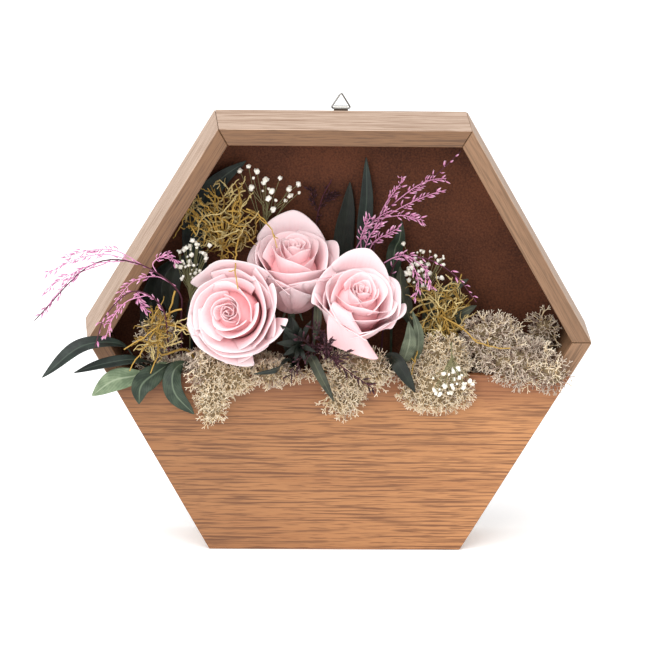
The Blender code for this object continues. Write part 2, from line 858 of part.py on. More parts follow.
def build_twigs():
    """Three tufts of gold coloured wiry twigs: stems that fork and bend inside an egg shape."""
    tufts = [
        ("twigs_upper_left", plant(-76, 7), (-71, 2, 198), (23, 8, 24), 7, 3),
        (
            "twigs_lower_left",
            [*plant(-78, -8), (-84, -10, 112), (-92, -20, 124)],
            (-106, -28, 140), (17, 6, 18), 6, 11,
        ),
        ("twigs_right", plant(56, 2), (60, -8, 146), (20, 8, 22), 7, 23),
    ]
    for name, feet, centre, radii, count, seed in tufts:
        chance = random.Random(seed)
        centre = Vector(centre)
        neck = centre + Vector((0, 0, -radii[2] * 0.9))
        parts = [stem_tube([*feet, tuple(neck), tuple(centre)], 1.0, 0.7, 8, 3, name)]
        for k in range(count):
            turn = 2 * math.pi * (k + chance.random() * 0.5) / count
            end = centre + Vector(
                (
                    radii[0] * math.cos(turn),
                    radii[1] * chance.uniform(-1, 1),
                    radii[2] * math.sin(turn),
                )
            )
            root = neck.lerp(centre, chance.uniform(0.3, 0.98))
            middle = root.lerp(end, 0.5) + Vector(
                (chance.uniform(-6, 6), chance.uniform(-3, 3), chance.uniform(-6, 6))
            )
            parts.append(stem_tube([tuple(root), tuple(middle), tuple(end)], 0.7, 0.45, 3))
            fork = root.lerp(middle, 0.9)
            side = end.lerp(centre, 0.5) + Vector(
                (chance.uniform(-9, 9), chance.uniform(-3, 3), chance.uniform(-9, 9))
            )
            parts.append(stem_tube([tuple(middle), tuple(side)], 0.6, 0.4, 2))
        thin_out(add_object(name, fuse(parts), finish(name + " gold", "#B8933A", 0.55), smooth=60), 0.6)


def build_breath():
    """Sprays of baby's breath: forked thin stems with a small white flower at each end."""
    sprays = [
        (
            "breath_upper",
            [*plant(-45, 13), (-47, 13, 170), (-43, 10, 200)],
            (-41, 7, 215), (15, 4, 13), 7, 5,
        ),
        (
            "breath_left",
            [*plant(-88, 2), (-88, 0, 140), (-89, -6, 158)],
            (-88, -8, 174), (12, 4, 13), 6, 8,
        ),
        (
            "breath_right",
            [*plant(46, 12), (47, 10, 130), (51, 6, 152)],
            (52, 3, 170), (13, 4, 14), 6, 13,
        ),
        (
            "breath_low",
            [*plant(66, -9), (66, -13, 112), (66, -22, 130), (65, -41, 122)],
            (64, -44, 109), (14, 3, 11), 6, 21,
        ),
    ]
    for name, stem, centre, radii, count, seed in sprays:
        chance = random.Random(seed)
        parts = [stem_tube(stem, 0.7, 0.5, 8, 3, name)]
        for k in range(count):
            turn = 2 * math.pi * k / count
            reach = chance.uniform(0.45, 1.0)
            end = Vector(centre) + Vector(
                (
                    radii[0] * reach * math.cos(turn),
                    radii[1] * chance.uniform(-1, 1),
                    radii[2] * reach * math.sin(turn),
                )
            )
            root = Vector(stem[-2]).lerp(Vector(stem[-1]), 0.45 + 0.5 * k / count)
            bend = root.lerp(end, 0.5) + Vector((chance.uniform(-2, 2), 0, chance.uniform(-1, 2)))
            parts.append(stem_tube([tuple(root), tuple(bend), tuple(end)], 0.45, 0.35, 1))
            parts.append(ball(end * MM, mm(2.0, 2.0, 1.9), 0.0, 1, k))
        thin_out(add_object(name, fuse(parts), finish(name + " white", "#EFEAD8", 0.8), smooth=60), 0.6)


def build_grass():
    """Panicles of pink grass: an arching stem with short side shoots of spikelets."""
    sprays = [
        (
            "grass_left_high",
            [*plant(-93, -2.5), (-94, -14, 140), (-97, -26, 162), (-122, -38, 182), (-150, -48, 183),
             (-182, -60, 153)],
            9, 4, 31,
        ),
        (
            "grass_left_low",
            [*plant(-100, -2.5), (-102, -22, 128), (-107, -38, 156), (-124, -42, 166), (-140, -46, 152),
             (-146, -50, 134)],
            6, 3, 37,
        ),
        (
            "grass_right_high",
            [*plant(19, 5.5), (19, 6, 160), (24, 2, 198), (38, -3, 216), (54, -8, 228), (69, -13, 245)],
            8, 4, 41,
        ),
        (
            "grass_right_low",
            [*plant(26, 7), (29, 5, 150), (35, -4, 176), (52, -12, 178), (68, -20, 170), (80, -26, 156)],
            6, 3, 43,
        ),
    ]
    for name, stem, count, reach, seed in sprays:
        chance = random.Random(seed)
        parts = [stem_tube(stem, 0.8, 0.4, 12, 3, name)]
        path = smooth_path([Vector(p) for p in stem], 40)
        for k in range(count):
            i = int(20 + 19 * (k + 0.5) / count)
            here, along = path[i], (path[i + 1] - path[i - 1]).normalized()
            side = Vector((chance.uniform(-1, 1), chance.uniform(-0.4, 0.4), chance.uniform(-1, 1)))
            heading = (along * 1.2 + (side - along * side.dot(along)).normalized()).normalized()
            parts.append(spike(here * MM, heading, reach * chance.uniform(1.3, 2.6), 1.0))
        end = path[-2]
        parts.append(spike(end * MM, path[-1] - path[-3], 5, 0.9))
        thin_out(add_object(name, fuse(parts), finish(name + " pink", "#D78FB8", 0.7), smooth=60), 0.6)


def build_fern():
    """Dark purple feathery twigs: one upright at the back, one in front of the moss."""
    sprays = [
        (
            "fern_back",
            [*plant(-14, 14.5), (-14, 15.5, 180), (-11, 15.5, 205), (-5, 15.5, 219)],
            6, 4, 51,
        ),
        (
            "fern_front",
            [*plant(-13, -9), (-12, -11, 108), (-10, -22, 126), (-3, -44, 124), (20, -50, 110)],
            7, 6, 53,
        ),
    ]
    for name, stem, count, reach, seed in sprays:
        chance = random.Random(seed)
        parts = [stem_tube(stem, 0.7, 0.35, 10, 3, name)]
        path = smooth_path([Vector(p) for p in stem], 40)
        for k in range(count):
            i = int(22 + 16 * (k + 0.5) / count)
            here, along = path[i], (path[i + 1] - path[i - 1]).normalized()
            side = Vector((chance.choice((-1, 1)), 0, chance.uniform(-0.5, 0.8)))
            heading = (along * 0.9 + (side - along * side.dot(along)).normalized()).normalized()
            parts.append(spike(here * MM, heading, reach * chance.uniform(0.8, 1.6), 0.5))
        thin_out(add_object(name, fuse(parts), finish(name + " purple", "#3A1E24", 0.8), smooth=60), 0.6)


def pocket_cutters():
    """Solids that moss must stay clear of: front panel, boards, foam and back panel."""
    half_top = 0.5 * SIDE + FRONT_PANEL_TOP / math.sqrt(3)
    panel = [
        (-0.5 * SIDE - 0.001, -0.001),
        (0.5 * SIDE + 0.001, -0.001),
        (half_top + 0.002, FRONT_PANEL_TOP + GAP),
        (-half_top - 0.002, FRONT_PANEL_TOP + GAP),
    ]
    inner = hexagon(SIDE - (BOARD + GAP) / math.cos(math.radians(30)))
    outer = hexagon(SIDE + 0.03)
    walls = []
    for k in range(6):
        n = (k + 1) % 6
        quad = [outer[k], outer[n], inner[n], inner[k]]
        walls.append(quad)
    back = [(-0.2, -0.05), (0.2, -0.05), (0.2, 0.3), (-0.2, 0.3)]
    floor = [(-0.2, -0.05), (0.2, -0.05), (0.2, FOAM_TOP + GAP), (-0.2, FOAM_TOP + GAP)]
    cutters = [prism(panel, FRONT_Y - GAP, FRONT_Y + FRONT_PANEL + 2 * GAP)]
    cutters.append(prism(floor, FRONT_Y - GAP + 0.0002, 0.1))
    cutters.append(prism(back, BACK_Y - REBATE_DEPTH, 0.1))
    for quad in walls:
        cutters.append(prism(quad, FRONT_Y - GAP, 0.1))
    return cutters


def near(obj, low, high):
    """Whether an object's box comes within the clearance of a box."""
    corners = [v.co for v in obj.data.vertices]
    return all(
        min(c[i] for c in corners) < high[i] + CLEARANCE
        and max(c[i] for c in corners) > low[i] - CLEARANCE
        for i in range(3)
    )


def plant(x, y, radius=1.9):
    """Where a stem stands in the foam: its foot, and the point where it leaves the foam."""
    HOLES.append((x, y, radius))
    return [(x, y, 80), (x, y, 96)]


def stem_cutter(name):
    """A tube with room round a plant's stem, or None for a plant that has a plain blade."""
    if name not in STEMS:
        return None
    path, radius = STEMS[name]
    return tube(path, [radius + CLEARANCE] * len(path), 5)


def build_moss(plants):
    """Clumps of reindeer moss: lumps fused, laid over the panel's edge and cut clear of the rest."""
    whole = []
    for seed, (name, lumps) in enumerate(MOSS):
        parts = [ball(mm(*c), mm(*r), 0.22, 2, seed * 5 + i) for i, (c, r) in enumerate(lumps)]
        body = fuse(parts)
        low = Vector([min(v.co[i] for v in body.verts) for i in range(3)])
        high = Vector([max(v.co[i] for v in body.verts) for i in range(3)])
        whole.append(body.copy())
        for cutter in pocket_cutters():
            body = boolean(body, cutter, "DIFFERENCE")
        for other in [o for o in plants if near(o, low, high)]:
            cutter = stem_cutter(other.name) or grown(other.data, CLEARANCE)
            body = boolean(body, cutter, "DIFFERENCE")
        for earlier in whole[:-1]:
            mesh = bpy.data.meshes.new("earlier moss")
            earlier.to_mesh(mesh)
            body = boolean(body, grown(mesh, CLEARANCE), "DIFFERENCE")
            bpy.data.meshes.remove(mesh)
        moss = largest_body(body)
        moss = add_object(name, moss, finish(name + " cream", "#D2C3A3", 0.95), smooth=50)
        thin_out(moss, 0.5)


def main():
    """Build the whole object."""
    clear_scene()

    def oak(name):
        return finish(name + " oak", "#C79A70", 0.55)

    build_boards(oak)
    build_panels(oak)
    build_hanger()
    build_roses()
    build_leaves()
    build_twigs()
    build_breath()
    build_grass()
    build_fern()
    plants = [
        o
        for o in bpy.data.objects
        if o.name.startswith(("rose", "leaf", "twigs", "breath", "grass", "fern"))
    ]
    build_foam(HOLES)
    build_moss(plants)


main()
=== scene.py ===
"""Preserved flower hexagon frame: the look of an oak box frame with roses, leaves, sprays and moss."""

import logging
import math
import random
from dataclasses import dataclass, field
from enum import Enum
from typing import Any, Callable, Iterable, Sequence

import bmesh
import bpy
import numpy as np
from mathutils import Matrix, Quaternion, Vector, noise


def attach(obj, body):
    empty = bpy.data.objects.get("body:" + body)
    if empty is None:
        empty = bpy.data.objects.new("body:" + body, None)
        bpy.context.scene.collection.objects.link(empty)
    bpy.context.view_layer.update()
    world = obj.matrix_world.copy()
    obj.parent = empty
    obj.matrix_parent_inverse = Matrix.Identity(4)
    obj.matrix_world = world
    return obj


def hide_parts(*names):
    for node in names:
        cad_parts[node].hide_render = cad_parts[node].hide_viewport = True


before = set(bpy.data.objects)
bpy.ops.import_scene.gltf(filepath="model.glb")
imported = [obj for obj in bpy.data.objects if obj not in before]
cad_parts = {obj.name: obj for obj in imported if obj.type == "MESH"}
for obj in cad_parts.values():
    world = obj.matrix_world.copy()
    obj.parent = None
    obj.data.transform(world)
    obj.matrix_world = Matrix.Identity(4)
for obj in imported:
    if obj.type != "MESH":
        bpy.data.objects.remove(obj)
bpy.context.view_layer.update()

MM = 0.001
LOG = logging.getLogger("flower_frame")

# The hexagon box, in millimetres
SIDE = 150.0
BOARD = 10.2
CENTRE_Z = 129.904
FRONT_Y = -22.0
PANEL_BACK_Y = -16.0
PANEL_TOP = 109.4
BACK_PANEL_Y = 18.7

# Thicknesses and depths, in millimetres
PETAL_THICKNESS = 0.32
LEAF_THICKNESS = 0.55
STALK_HALF_WIDTH = 0.75
MOSS_DEPTH = 3.2

# The along value of every point of a strand
STRAND_ALONG = 0.5

# The share of a leaf's width that its midrib is sunk by, and the spans along its blade
LEAF_FOLD = 0.22
BLADE_SPANS = 60
FOLDED_SPANS = 24

# A rose's bud, and its rings of petals from the middle outwards: how many petals, foot and rim as
# radius and height, half of the angle wrapped, flare, spiral, lip and tone, which sets the painted shade
BUD_PETALS = 7
LEAF_TURN = 137.5
RINGS = (
    (3, (6.0, 16.0), (7.6, 43.8), 84, 1.8, 1.6, 0.4, 0.55),
    (3, (8.0, 12.0), (12.0, 42.6), 78, 3.6, 2.2, 0.5, 0.4),
    (3, (9.5, 8.0), (16.6, 39.8), 80, 4.8, 2.2, 0.7, 0.2),
    (4, (9.0, 5.0), (20.4, 36.6), 58, 4.6, 2.0, 0.9, 0.1),
)


class Body(Enum):
    """The moving bodies of the object."""

    FRAME = "frame"
    RING = "ring"


class Slot(Enum):
    """The record's material slots."""

    ROSE = "rose"
    MOSS = "moss"
    LEAF = "leaf"
    PALE_LEAF = "leaf_pale"
    TWIG = "twig"
    WHITE = "flower_white"
    PINK = "grass_pink"
    FERN = "fern"


def linear(colour: str) -> tuple[float, float, float, float]:
    """Turn an sRGB hex colour into linear light.

    Args:
        colour: The colour as "#RRGGBB".

    Returns:
        Red, green, blue and an alpha of one.
    """
    parts = [int(colour[i : i + 2], 16) / 255 for i in (1, 3, 5)]
    red, green, blue = [c / 12.92 if c <= 0.04045 else ((c + 0.055) / 1.055) ** 2.4 for c in parts]
    return red, green, blue, 1.0


class Painter:
    """Adds nodes to one material; each method gives back the new node's output."""

    def __init__(self, tree: Any) -> None:
        """Keep the tree, its shader and its object coordinates."""
        self.tree = tree
        self.shader = tree.nodes["Principled BSDF"]
        self.place = self.node("TexCoord").outputs["Object"]

    def node(self, kind: str, inputs: dict[Any, Any] | None = None, **settings: Any) -> Any:
        """Add a node with its settings and links.

        Args:
            kind: The node's type name, without its ShaderNode.
            inputs: Socket name or number to a value, or to an output that it is linked to.
            **settings: The node's own properties.

        Returns:
            The new node.
        """
        node = self.tree.nodes.new(f"ShaderNode{kind}")
        for key, value in settings.items():
            setattr(node, key, value)
        for key, value in (inputs or {}).items():
            self.give(node, key, value)
        return node

    def give(self, node: Any, key: Any, value: Any) -> None:
        """Link an output to a node's input, or set the input to a value."""
        if isinstance(value, bpy.types.NodeSocket):
            self.tree.links.new(value, node.inputs[key])
        else:
            node.inputs[key].default_value = value

    def attribute(self, name: str) -> Any:
        """The value that the piece keeps at each point."""
        return self.node("Attribute", attribute_name=name).outputs["Fac"]

    def stretched(self, vector: Any, scale: tuple, turn: tuple = (0.0, 0.0, 0.0)) -> Any:
        """Coordinates turned in radians and scaled, axis by axis."""
        return self.node("Mapping", {"Vector": vector, "Scale": scale, "Rotation": turn}).outputs[0]

    def noise(self, vector: Any, scale: float, detail: float, distortion: float = 0.0) -> Any:
        """A cloudy noise, with its scale in cells per metre."""
        inputs = {"Vector": vector, "Scale": scale, "Detail": detail, "Distortion": distortion}
        return self.node("TexNoise", inputs).outputs["Fac"]

    def calc(self, operation: str, *values: Any) -> Any:
        """A sum of up to three values."""
        return self.node("Math", dict(enumerate(values)), operation=operation).outputs[0]

    def between(self, share: float, first: Any, second: Any) -> Any:
        """A value between two values."""
        return self.node("Mix", {0: share, 2: first, 3: second}, data_type="FLOAT").outputs[0]

    def mix(self, share: Any, first: Any, second: Any, blend: str = "MIX") -> Any:
        """A colour between two colours."""
        inputs = {0: share, 6: first, 7: second}
        return self.node("Mix", inputs, data_type="RGBA", blend_type=blend).outputs[2]

    def fit(self, value: Any, low: float, high: float, to_low: float = 0.0, to_high: float = 1.0) -> Any:
        """A value carried from one range to another, and held inside it."""
        inputs = {"Value": value, "From Min": low, "From Max": high, "To Min": to_low, "To Max": to_high}
        return self.node("MapRange", inputs).outputs[0]

    def ramp(self, value: Any, *stops: tuple[float, str]) -> Any:
        """A colour from places and hex colours along a value."""
        node = self.node("ValToRGB", {"Fac": value})
        elements = node.color_ramp.elements
        while len(elements) < len(stops):
            elements.new(0.5)
        for element, (position, colour) in zip(elements, stops):
            element.position = position
            element.color = linear(colour)
        return node.outputs[0]

    def colour(self, colour: Any, specular: float | None = None) -> None:
        """Give the shader its colour, and its reflection where that isn't the usual one."""
        self.give(self.shader, "Base Color", colour)
        if specular is not None:
            self.give(self.shader, "Specular IOR Level", specular)

    def relief(self, height: Any, strength: float, distance: float, invert: bool = False) -> None:
        """Give the shader a relief, with its depth in metres."""
        inputs = {"Height": height, "Strength": strength, "Distance": distance}
        self.give(self.shader, "Normal", self.node("Bump", inputs, invert=invert).outputs[0])


@dataclass(frozen=True)
class Finish:
    """A surface finish, from which a material is made."""

    name: str
    roughness: float

    def material(self) -> Any:
        """Make the Principled material.

        Returns:
            The material, painted by the finish's own nodes.
        """
        material = bpy.data.materials.new(self.name)
        material.use_nodes = True
        painter = Painter(material.node_tree)
        painter.give(painter.shader, "Roughness", self.roughness)
        self.paint(painter)
        return material

    def paint(self, painter: Painter) -> None:
        """Add the finish's colour, relief and gloss to the shader."""
        raise NotImplementedError


@dataclass(frozen=True)
class Oak(Finish):
    """Solid oak, planed and sanded, with no varnish: straight grain and open pores."""

    light: str
    dark: str
    pore: str
    # The paler outer face colour is painted light from above and a painted sheen.
    outside: str = ""
    grain_turn: float = 0.0
    figure: float = 0.5
    shaded_edge: bool = False

    def paint(self, painter: Painter) -> None:
        """Draw grain lines 1.3 mm apart and 45 mm long, pores 0.7 mm apart, and 17 mm bands."""
        along = painter.stretched(painter.place, (1.0, 1.0, 1.0), (0.0, self.grain_turn, 0.0))
        slow, grain, fine = (
            painter.noise(painter.stretched(along, scale), 1.0, detail, 0.25)
            for scale, detail in (((4, 60, 60), 3.0), ((22, 780, 780), 3.0), ((60, 1500, 1500), 2.0))
        )
        band = painter.between(self.figure, slow, grain)
        wood = painter.ramp(band, (0.34, self.dark), (0.5, self.light), (0.66, self.light))
        lines = painter.fit(grain, 0.5, 0.62, 0.0, 0.75)
        pores = painter.fit(fine, 0.54, 0.62, 0.0, 0.55)
        marks = painter.calc("MAXIMUM", lines, pores)
        colour = painter.mix(marks, wood, linear(self.pore))
        # The front panel's top band is painted shadow of the overhanging moss and leaves, partly a grain
        # band.
        if self.shaded_edge:
            colour = self.shadow_band_and_side_tone(painter, slow, colour)
        if self.outside:
            colour = self.painted_outer_light(painter, marks, colour)
        painter.colour(colour)
        painter.relief(marks, 0.25, 0.0002, invert=True)

    def painted_outer_light(self, painter: Painter, marks: Any, colour: Any) -> Any:
        """Paint the hexagon's outer faces paler than the edges, as painted light from above and a painted
        sheen.

        Args:
            painter: Adds the nodes.
            marks: The grain lines, 0 to 1.
            colour: The colour so far.

        Returns:
            The colour with its outer faces.
        """
        inputs = {0: painter.place, 1: (1.0, 0.0, 1.0), 2: (0.0, 0.0, -CENTRE_Z * MM)}
        radial = painter.node("VectorMath", inputs, operation="MULTIPLY_ADD").outputs[0]
        normal = painter.node("NewGeometry").outputs["True Normal"]
        outward = painter.node("VectorMath", {0: radial, 1: normal}, operation="DOT_PRODUCT")
        # Painted light: outward-facing faces take the paler colour.
        share = painter.calc("GREATER_THAN", outward.outputs["Value"], 0.05)
        return painter.mix(share, colour, painter.mix(marks, linear(self.outside), linear(self.light)))

    def shadow_band_and_side_tone(self, painter: Painter, wavy: Any, colour: Any) -> Any:
        """Paint shadow of the overhanging moss and leaves, partly a red-brown grain band, on the top 15 mm of
        the front panel, and darken the panel towards its left.

        Args:
            painter: Adds the nodes.
            wavy: A slow noise that breaks the band's edge.
            colour: The colour so far.

        Returns:
            The colour with the bands.
        """
        across, _, height = painter.node("SeparateXYZ", {0: painter.place}).outputs
        # Painted shadow: the top 15 mm, under the overhanging moss and leaves, is reddened and darkened,
        # partly as a red-brown grain band.
        bent = painter.calc("MULTIPLY_ADD", wavy, 0.014, height)
        moss_shadow_and_grain_band = painter.mix(painter.fit(bent, 0.094, 0.108, 0.0, 0.7), colour, linear("#86502F"))
        # The panel is darker towards the left and lighter towards the right.
        side = painter.fit(across, -0.12, 0.1)
        tint = painter.mix(side, linear("#D2CFCC"), linear("#FFFFFF"))
        return painter.mix(1.0, moss_shadow_and_grain_band, tint, "MULTIPLY")


@dataclass(frozen=True)
class Hardboard(Finish):
    """Pressed brown hardboard: fine dark fibres 1 mm long and cloudy patches of 40 mm."""

    light: str = "#5F3520"
    dark: str = "#391C10"

    def paint(self, painter: Painter) -> None:
        """Mix a cloud of 25 per metre with fibres of 900 per metre."""
        cloud = painter.noise(painter.place, 25.0, 4.0)
        fibre = painter.noise(painter.place, 900.0, 3.0)
        value = painter.between(0.55, cloud, fibre)
        painter.colour(painter.ramp(value, (0.36, self.dark), (0.62, self.light)), specular=0.25)
        painter.relief(fibre, 0.3, 0.0003)


@dataclass(frozen=True)
class Steel(Finish):
    """Bright drawn steel: metallic, with fine drawing marks 0.3 mm apart."""

    def paint(self, painter: Painter) -> None:
        """Vary the roughness along the wire; the metal keeps the default IOR."""
        painter.give(painter.shader, "Metallic", 1.0)
        marks = painter.noise(painter.place, 3000.0, 2.0)
        painter.colour(painter.ramp(marks, (0.3, "#77746E"), (0.7, "#9B9A97")))
        painter.give(painter.shader, "Roughness", painter.fit(marks, 0.0, 1.0, 0.22, 0.42))


@dataclass(frozen=True)
class Petal(Finish):
    """A rose petal kept soft with glycerine: pale pink, deeper at its foot, thin enough to glow."""

    rim: str = "#FDE1E4"
    body: str = "#FCD9DC"
    foot: str = "#F8B7BA"

    def paint(self, painter: Painter) -> None:
        """Colour from foot to rim by the petal's own along value, with veins 1 mm apart, and painted shade
        from the tone value.
        """
        for key, value in (("Weight", 0.5), ("Radius", (0.55, 0.5, 0.5)), ("Scale", 0.002)):
            painter.give(painter.shader, f"Subsurface {key}", value)
        along, across, tone = (painter.attribute(name) for name in ("along", "across", "tone"))
        surface = painter.node("CombineXYZ", {0: across, 1: along, 2: tone}).outputs[0]
        vein = painter.noise(painter.stretched(surface, (16, 2.2, 30)), 1.0, 3.0)
        uneven = painter.calc("MULTIPLY_ADD", vein, 0.22, along)
        # Foot to rim is partly the petal's own deeper foot and paler rim, partly painted shade between the
        # petals and a painted highlight on the rims.
        colour = painter.ramp(uneven, (0.5, self.foot), (0.86, self.body), (1.08, self.rim))
        # Painted shade: a higher tone pulls the petal to its foot colour, as shade deep in the cup.
        painted_cup_shade = painter.calc("MULTIPLY", tone, 0.3)
        painter.colour(painter.mix(painted_cup_shade, colour, linear(self.foot)), specular=0.3)
        painter.relief(vein, 0.35, 0.0004)


@dataclass(frozen=True)
class Blade(Finish):
    """A preserved eucalyptus or olive leaf: waxy, with a paler midrib and fine slanted veins."""

    face: str = "#121A16"
    bloom: str = "#212D26"
    rib: str = "#4B594C"
    rib_share: float = 0.5

    def paint(self, painter: Painter) -> None:
        """Draw the midrib 0.6 mm wide, and about 24 side veins along each half of the blade."""
        away = painter.calc("ABSOLUTE", painter.attribute("across"))
        rib = painter.fit(away, 0.03, 0.12, self.rib_share, 0.0)
        slant = painter.calc("MULTIPLY_ADD", away, -0.16, painter.attribute("along"))
        wave = painter.calc("SINE", painter.calc("MULTIPLY", slant, 150.0))
        veined = painter.calc("MULTIPLY_ADD", wave, 0.05, painter.noise(painter.place, 160.0, 4.0))
        colour = painter.ramp(veined, (0.38, self.face), (0.66, self.bloom))
        painter.colour(painter.mix(rib, colour, linear(self.rib)), specular=0.35)
        painter.relief(veined, 0.4, 0.0005)


@dataclass(frozen=True)
class Strandy(Finish):
    """Dry stalks, moss and spikelets: a colour that changes from root to tip, and from one to the next."""

    root: str
    middle: str
    tip: str
    other: str
    mottle_scale: float = 700.0

    def paint(self, painter: Painter) -> None:
        """Shade along each strand, mottled by a noise about 1.5 mm across."""
        mottle = painter.noise(painter.place, self.mottle_scale, 2.0)
        stops = ((0.0, self.root), (0.55, self.middle), (1.0, self.tip))
        colour = painter.ramp(painter.attribute("along"), *stops)
        share = painter.calc("MULTIPLY", mottle, painter.attribute("tone"))
        painter.colour(painter.mix(share, colour, linear(self.other)), specular=0.25)


# The outside colours are painted light and sheen on the boards' outer faces.
BROWN_OAK = {"light": "#775539", "dark": "#65462D", "pore": "#4D3422", "outside": "#B59C89"}
BLOND_OAK = {"light": "#8C6A4E", "dark": "#77573D", "pore": "#634831", "outside": "#B59B87"}
PANEL_OAK = Oak(
    "sanded oak panel", 0.6, "#B57E4F", "#A66F43", "#59301A", figure=0.35, shaded_edge=True
)
HARDBOARD = Hardboard("pressed hardboard", 0.8)
STEEL = Steel("drawn steel", 0.3)
PETAL = Petal("preserved rose petal", 0.55)
DARK_LEAF = Blade("dark preserved leaf", 0.5)
# Painted shade: a darker copy of the dark leaf for leaves that stand in shade inside the box.
LEAF_IN_SHADE = Blade("dark leaf in shade", 0.55, "#11150F", "#1D231A", "#2F352A", 0.25)
GREEN_LEAF = Blade("green preserved leaf", 0.5, "#1E2A1E", "#374434", "#78866E", 0.5)
PALE_LEAF = Blade("pale preserved leaf", 0.5, "#67795C", "#8C9C7C", "#B3BFA2", 0.6)
GREY_LEAF = Blade("grey green olive leaf", 0.6, "#454C3C", "#656D58", "#8F967F", 0.5)
OLIVE_LEAF = Blade("olive brown leaf", 0.6, "#2E3127", "#4B4E3D", "#6E7158", 0.5)
REINDEER_MOSS = Strandy("cream reindeer moss", 0.95, "#A88D66", "#E4CEA9", "#FAF0DC", "#BCA079")
GREY_MOSS = Strandy("greyed reindeer moss", 0.95, "#665044", "#AC9686", "#E0D2C0", "#786054")
MOSS_CORE = Strandy("shaded moss inside", 1.0, "#928062", "#928062", "#928062", "#5E4D39", 900.0)
# Its dark other colour, mixed in strand by strand, is partly random tone and partly painted shade among the
# twigs.
GOLD_TWIG = Strandy("gold dyed twig", 0.55, "#8A6B2E", "#C09A4C", "#E2C985", "#54401E", 900.0)
# Painted highlight: the paler strands stand in for light on the twigs' upper sides.
HIGHLIT_TWIG = Strandy("twig with painted highlight", 0.6, "#B09250", "#D8C48A", "#F2EACB", "#7A6238", 900.0)
BREATH_STEM = Strandy("dry flower stalk", 0.7, "#5A5A3C", "#8A8660", "#B5AE88", "#4C4A30")
BREATH_BLOOM = Strandy("papery white bloom", 0.85, "#E6DFC8", "#F6F2E6", "#FBF8F0", "#CFC6A6")
PINK_GRASS = Strandy("pink dyed grass", 0.7, "#A45C84", "#DA9ABD", "#F3CFE0", "#B76C97")
PLUM_STALK = Strandy("plum dyed stalk", 0.75, "#34171F", "#542A38", "#7A4458", "#24121A")
FERN_NEEDLE = Strandy("dark purple fern", 0.8, "#22130F", "#3E2228", "#6B4350", "#1A0E12")
FOAM = Strandy("dry floral foam", 0.95, "#4F5B45", "#4F5B45", "#4F5B45", "#323B2C", 1200.0)


@dataclass
class Shape:
    """A mesh as arrays: its points, faces, and its along and across values at each point."""

    points: np.ndarray
    corners: np.ndarray
    starts: np.ndarray
    along: np.ndarray
    across: np.ndarray

    @staticmethod
    def read(mesh: Any, along: np.ndarray | None = None, across: np.ndarray | None = None) -> "Shape":
        """Read a mesh.

        Args:
            mesh: A mesh data block.
            along: A value from root to tip at each point, or None for one.
            across: A value from side to side at each point, or None for zero.

        Returns:
            The shape.
        """
        count = len(mesh.vertices)
        points = np.empty(count * 3, dtype=np.float32)
        mesh.vertices.foreach_get("co", points)
        corners = np.empty(len(mesh.loops), dtype=np.int32)
        mesh.loops.foreach_get("vertex_index", corners)
        starts = np.empty(len(mesh.polygons), dtype=np.int32)
        mesh.polygons.foreach_get("loop_start", starts)
        along = np.ones(count, dtype=np.float32) if along is None else along
        across = np.zeros(count, dtype=np.float32) if across is None else across
        return Shape(points.reshape(-1, 3), corners, starts, along, across)

    @staticmethod
    def take(body: Any, along: np.ndarray | None = None, across: np.ndarray | None = None) -> "Shape":
        """Read a bmesh and free it.

        Args:
            body: The bmesh.
            along: As in read.
            across: As in read.

        Returns:
            The shape.
        """
        mesh = bpy.data.meshes.new("shape")
        body.to_mesh(mesh)
        body.free()
        shape = Shape.read(mesh, along, across)
        bpy.data.meshes.remove(mesh)
        return shape


@dataclass
class Bundle:
    """Shapes gathered into one piece."""

    name: str
    shapes: list[tuple[Shape, np.ndarray, float, int]] = field(default_factory=list)

    def add(self, shape: Shape, place: Matrix | None = None, tone: float = 0.5, slot: int = 0) -> None:
        """Add a shape at a place, with its tone and the number of its finish."""
        points = shape.points
        if place is not None:
            matrix = np.array(place, dtype=np.float32)
            points = points @ matrix[:3, :3].T + matrix[:3, 3]
        self.shapes.append((shape, points, tone, slot))

    def build(self, finishes: Sequence[Finish], body: Body = Body.FRAME) -> Any:
        """Make the object.

        Args:
            finishes: The finishes of the slots.
            body: The body that the piece rides on.

        Returns:
            The object, in the scene and riding on its body.
        """
        mesh = bpy.data.meshes.new(self.name)
        points = np.concatenate([p for _, p, _, _ in self.shapes])
        first = np.cumsum([0] + [len(p) for _, p, _, _ in self.shapes[:-1]])
        corner_first = np.cumsum([0] + [len(s.corners) for s, _, _, _ in self.shapes[:-1]])
        corners = np.concatenate([s.corners + o for (s, _, _, _), o in zip(self.shapes, first)])
        starts = np.concatenate([s.starts + o for (s, _, _, _), o in zip(self.shapes, corner_first)])
        slots = np.concatenate([np.full(len(s.starts), n) for s, _, _, n in self.shapes])
        mesh.vertices.add(len(points))
        mesh.vertices.foreach_set("co", points.astype(np.float32).ravel())
        mesh.loops.add(len(corners))
        mesh.loops.foreach_set("vertex_index", corners.astype(np.int32))
        mesh.polygons.add(len(starts))
        mesh.polygons.foreach_set("loop_start", starts.astype(np.int32))
        mesh.polygons.foreach_set("material_index", slots.astype(np.int32))
        mesh.update(calc_edges=True)
        values = {
            "along": np.concatenate([s.along for s, _, _, _ in self.shapes]),
            "across": np.concatenate([s.across for s, _, _, _ in self.shapes]),
            "tone": np.concatenate([np.full(len(p), t) for _, p, t, _ in self.shapes]),
        }
        for key, data in values.items():
            layer = mesh.attributes.new(key, "FLOAT", "POINT")
            layer.data.foreach_set("value", data.astype(np.float32))
        mesh.polygons.foreach_set("use_smooth", [True] * len(starts))
        for finish in finishes:
            mesh.materials.append(MATERIALS.of(finish))
        piece = bpy.data.objects.new(self.name, mesh)
        bpy.context.scene.collection.objects.link(piece)
        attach(piece, body.value)
        LOG.info("%s: %d faces", self.name, len(starts))
        return piece


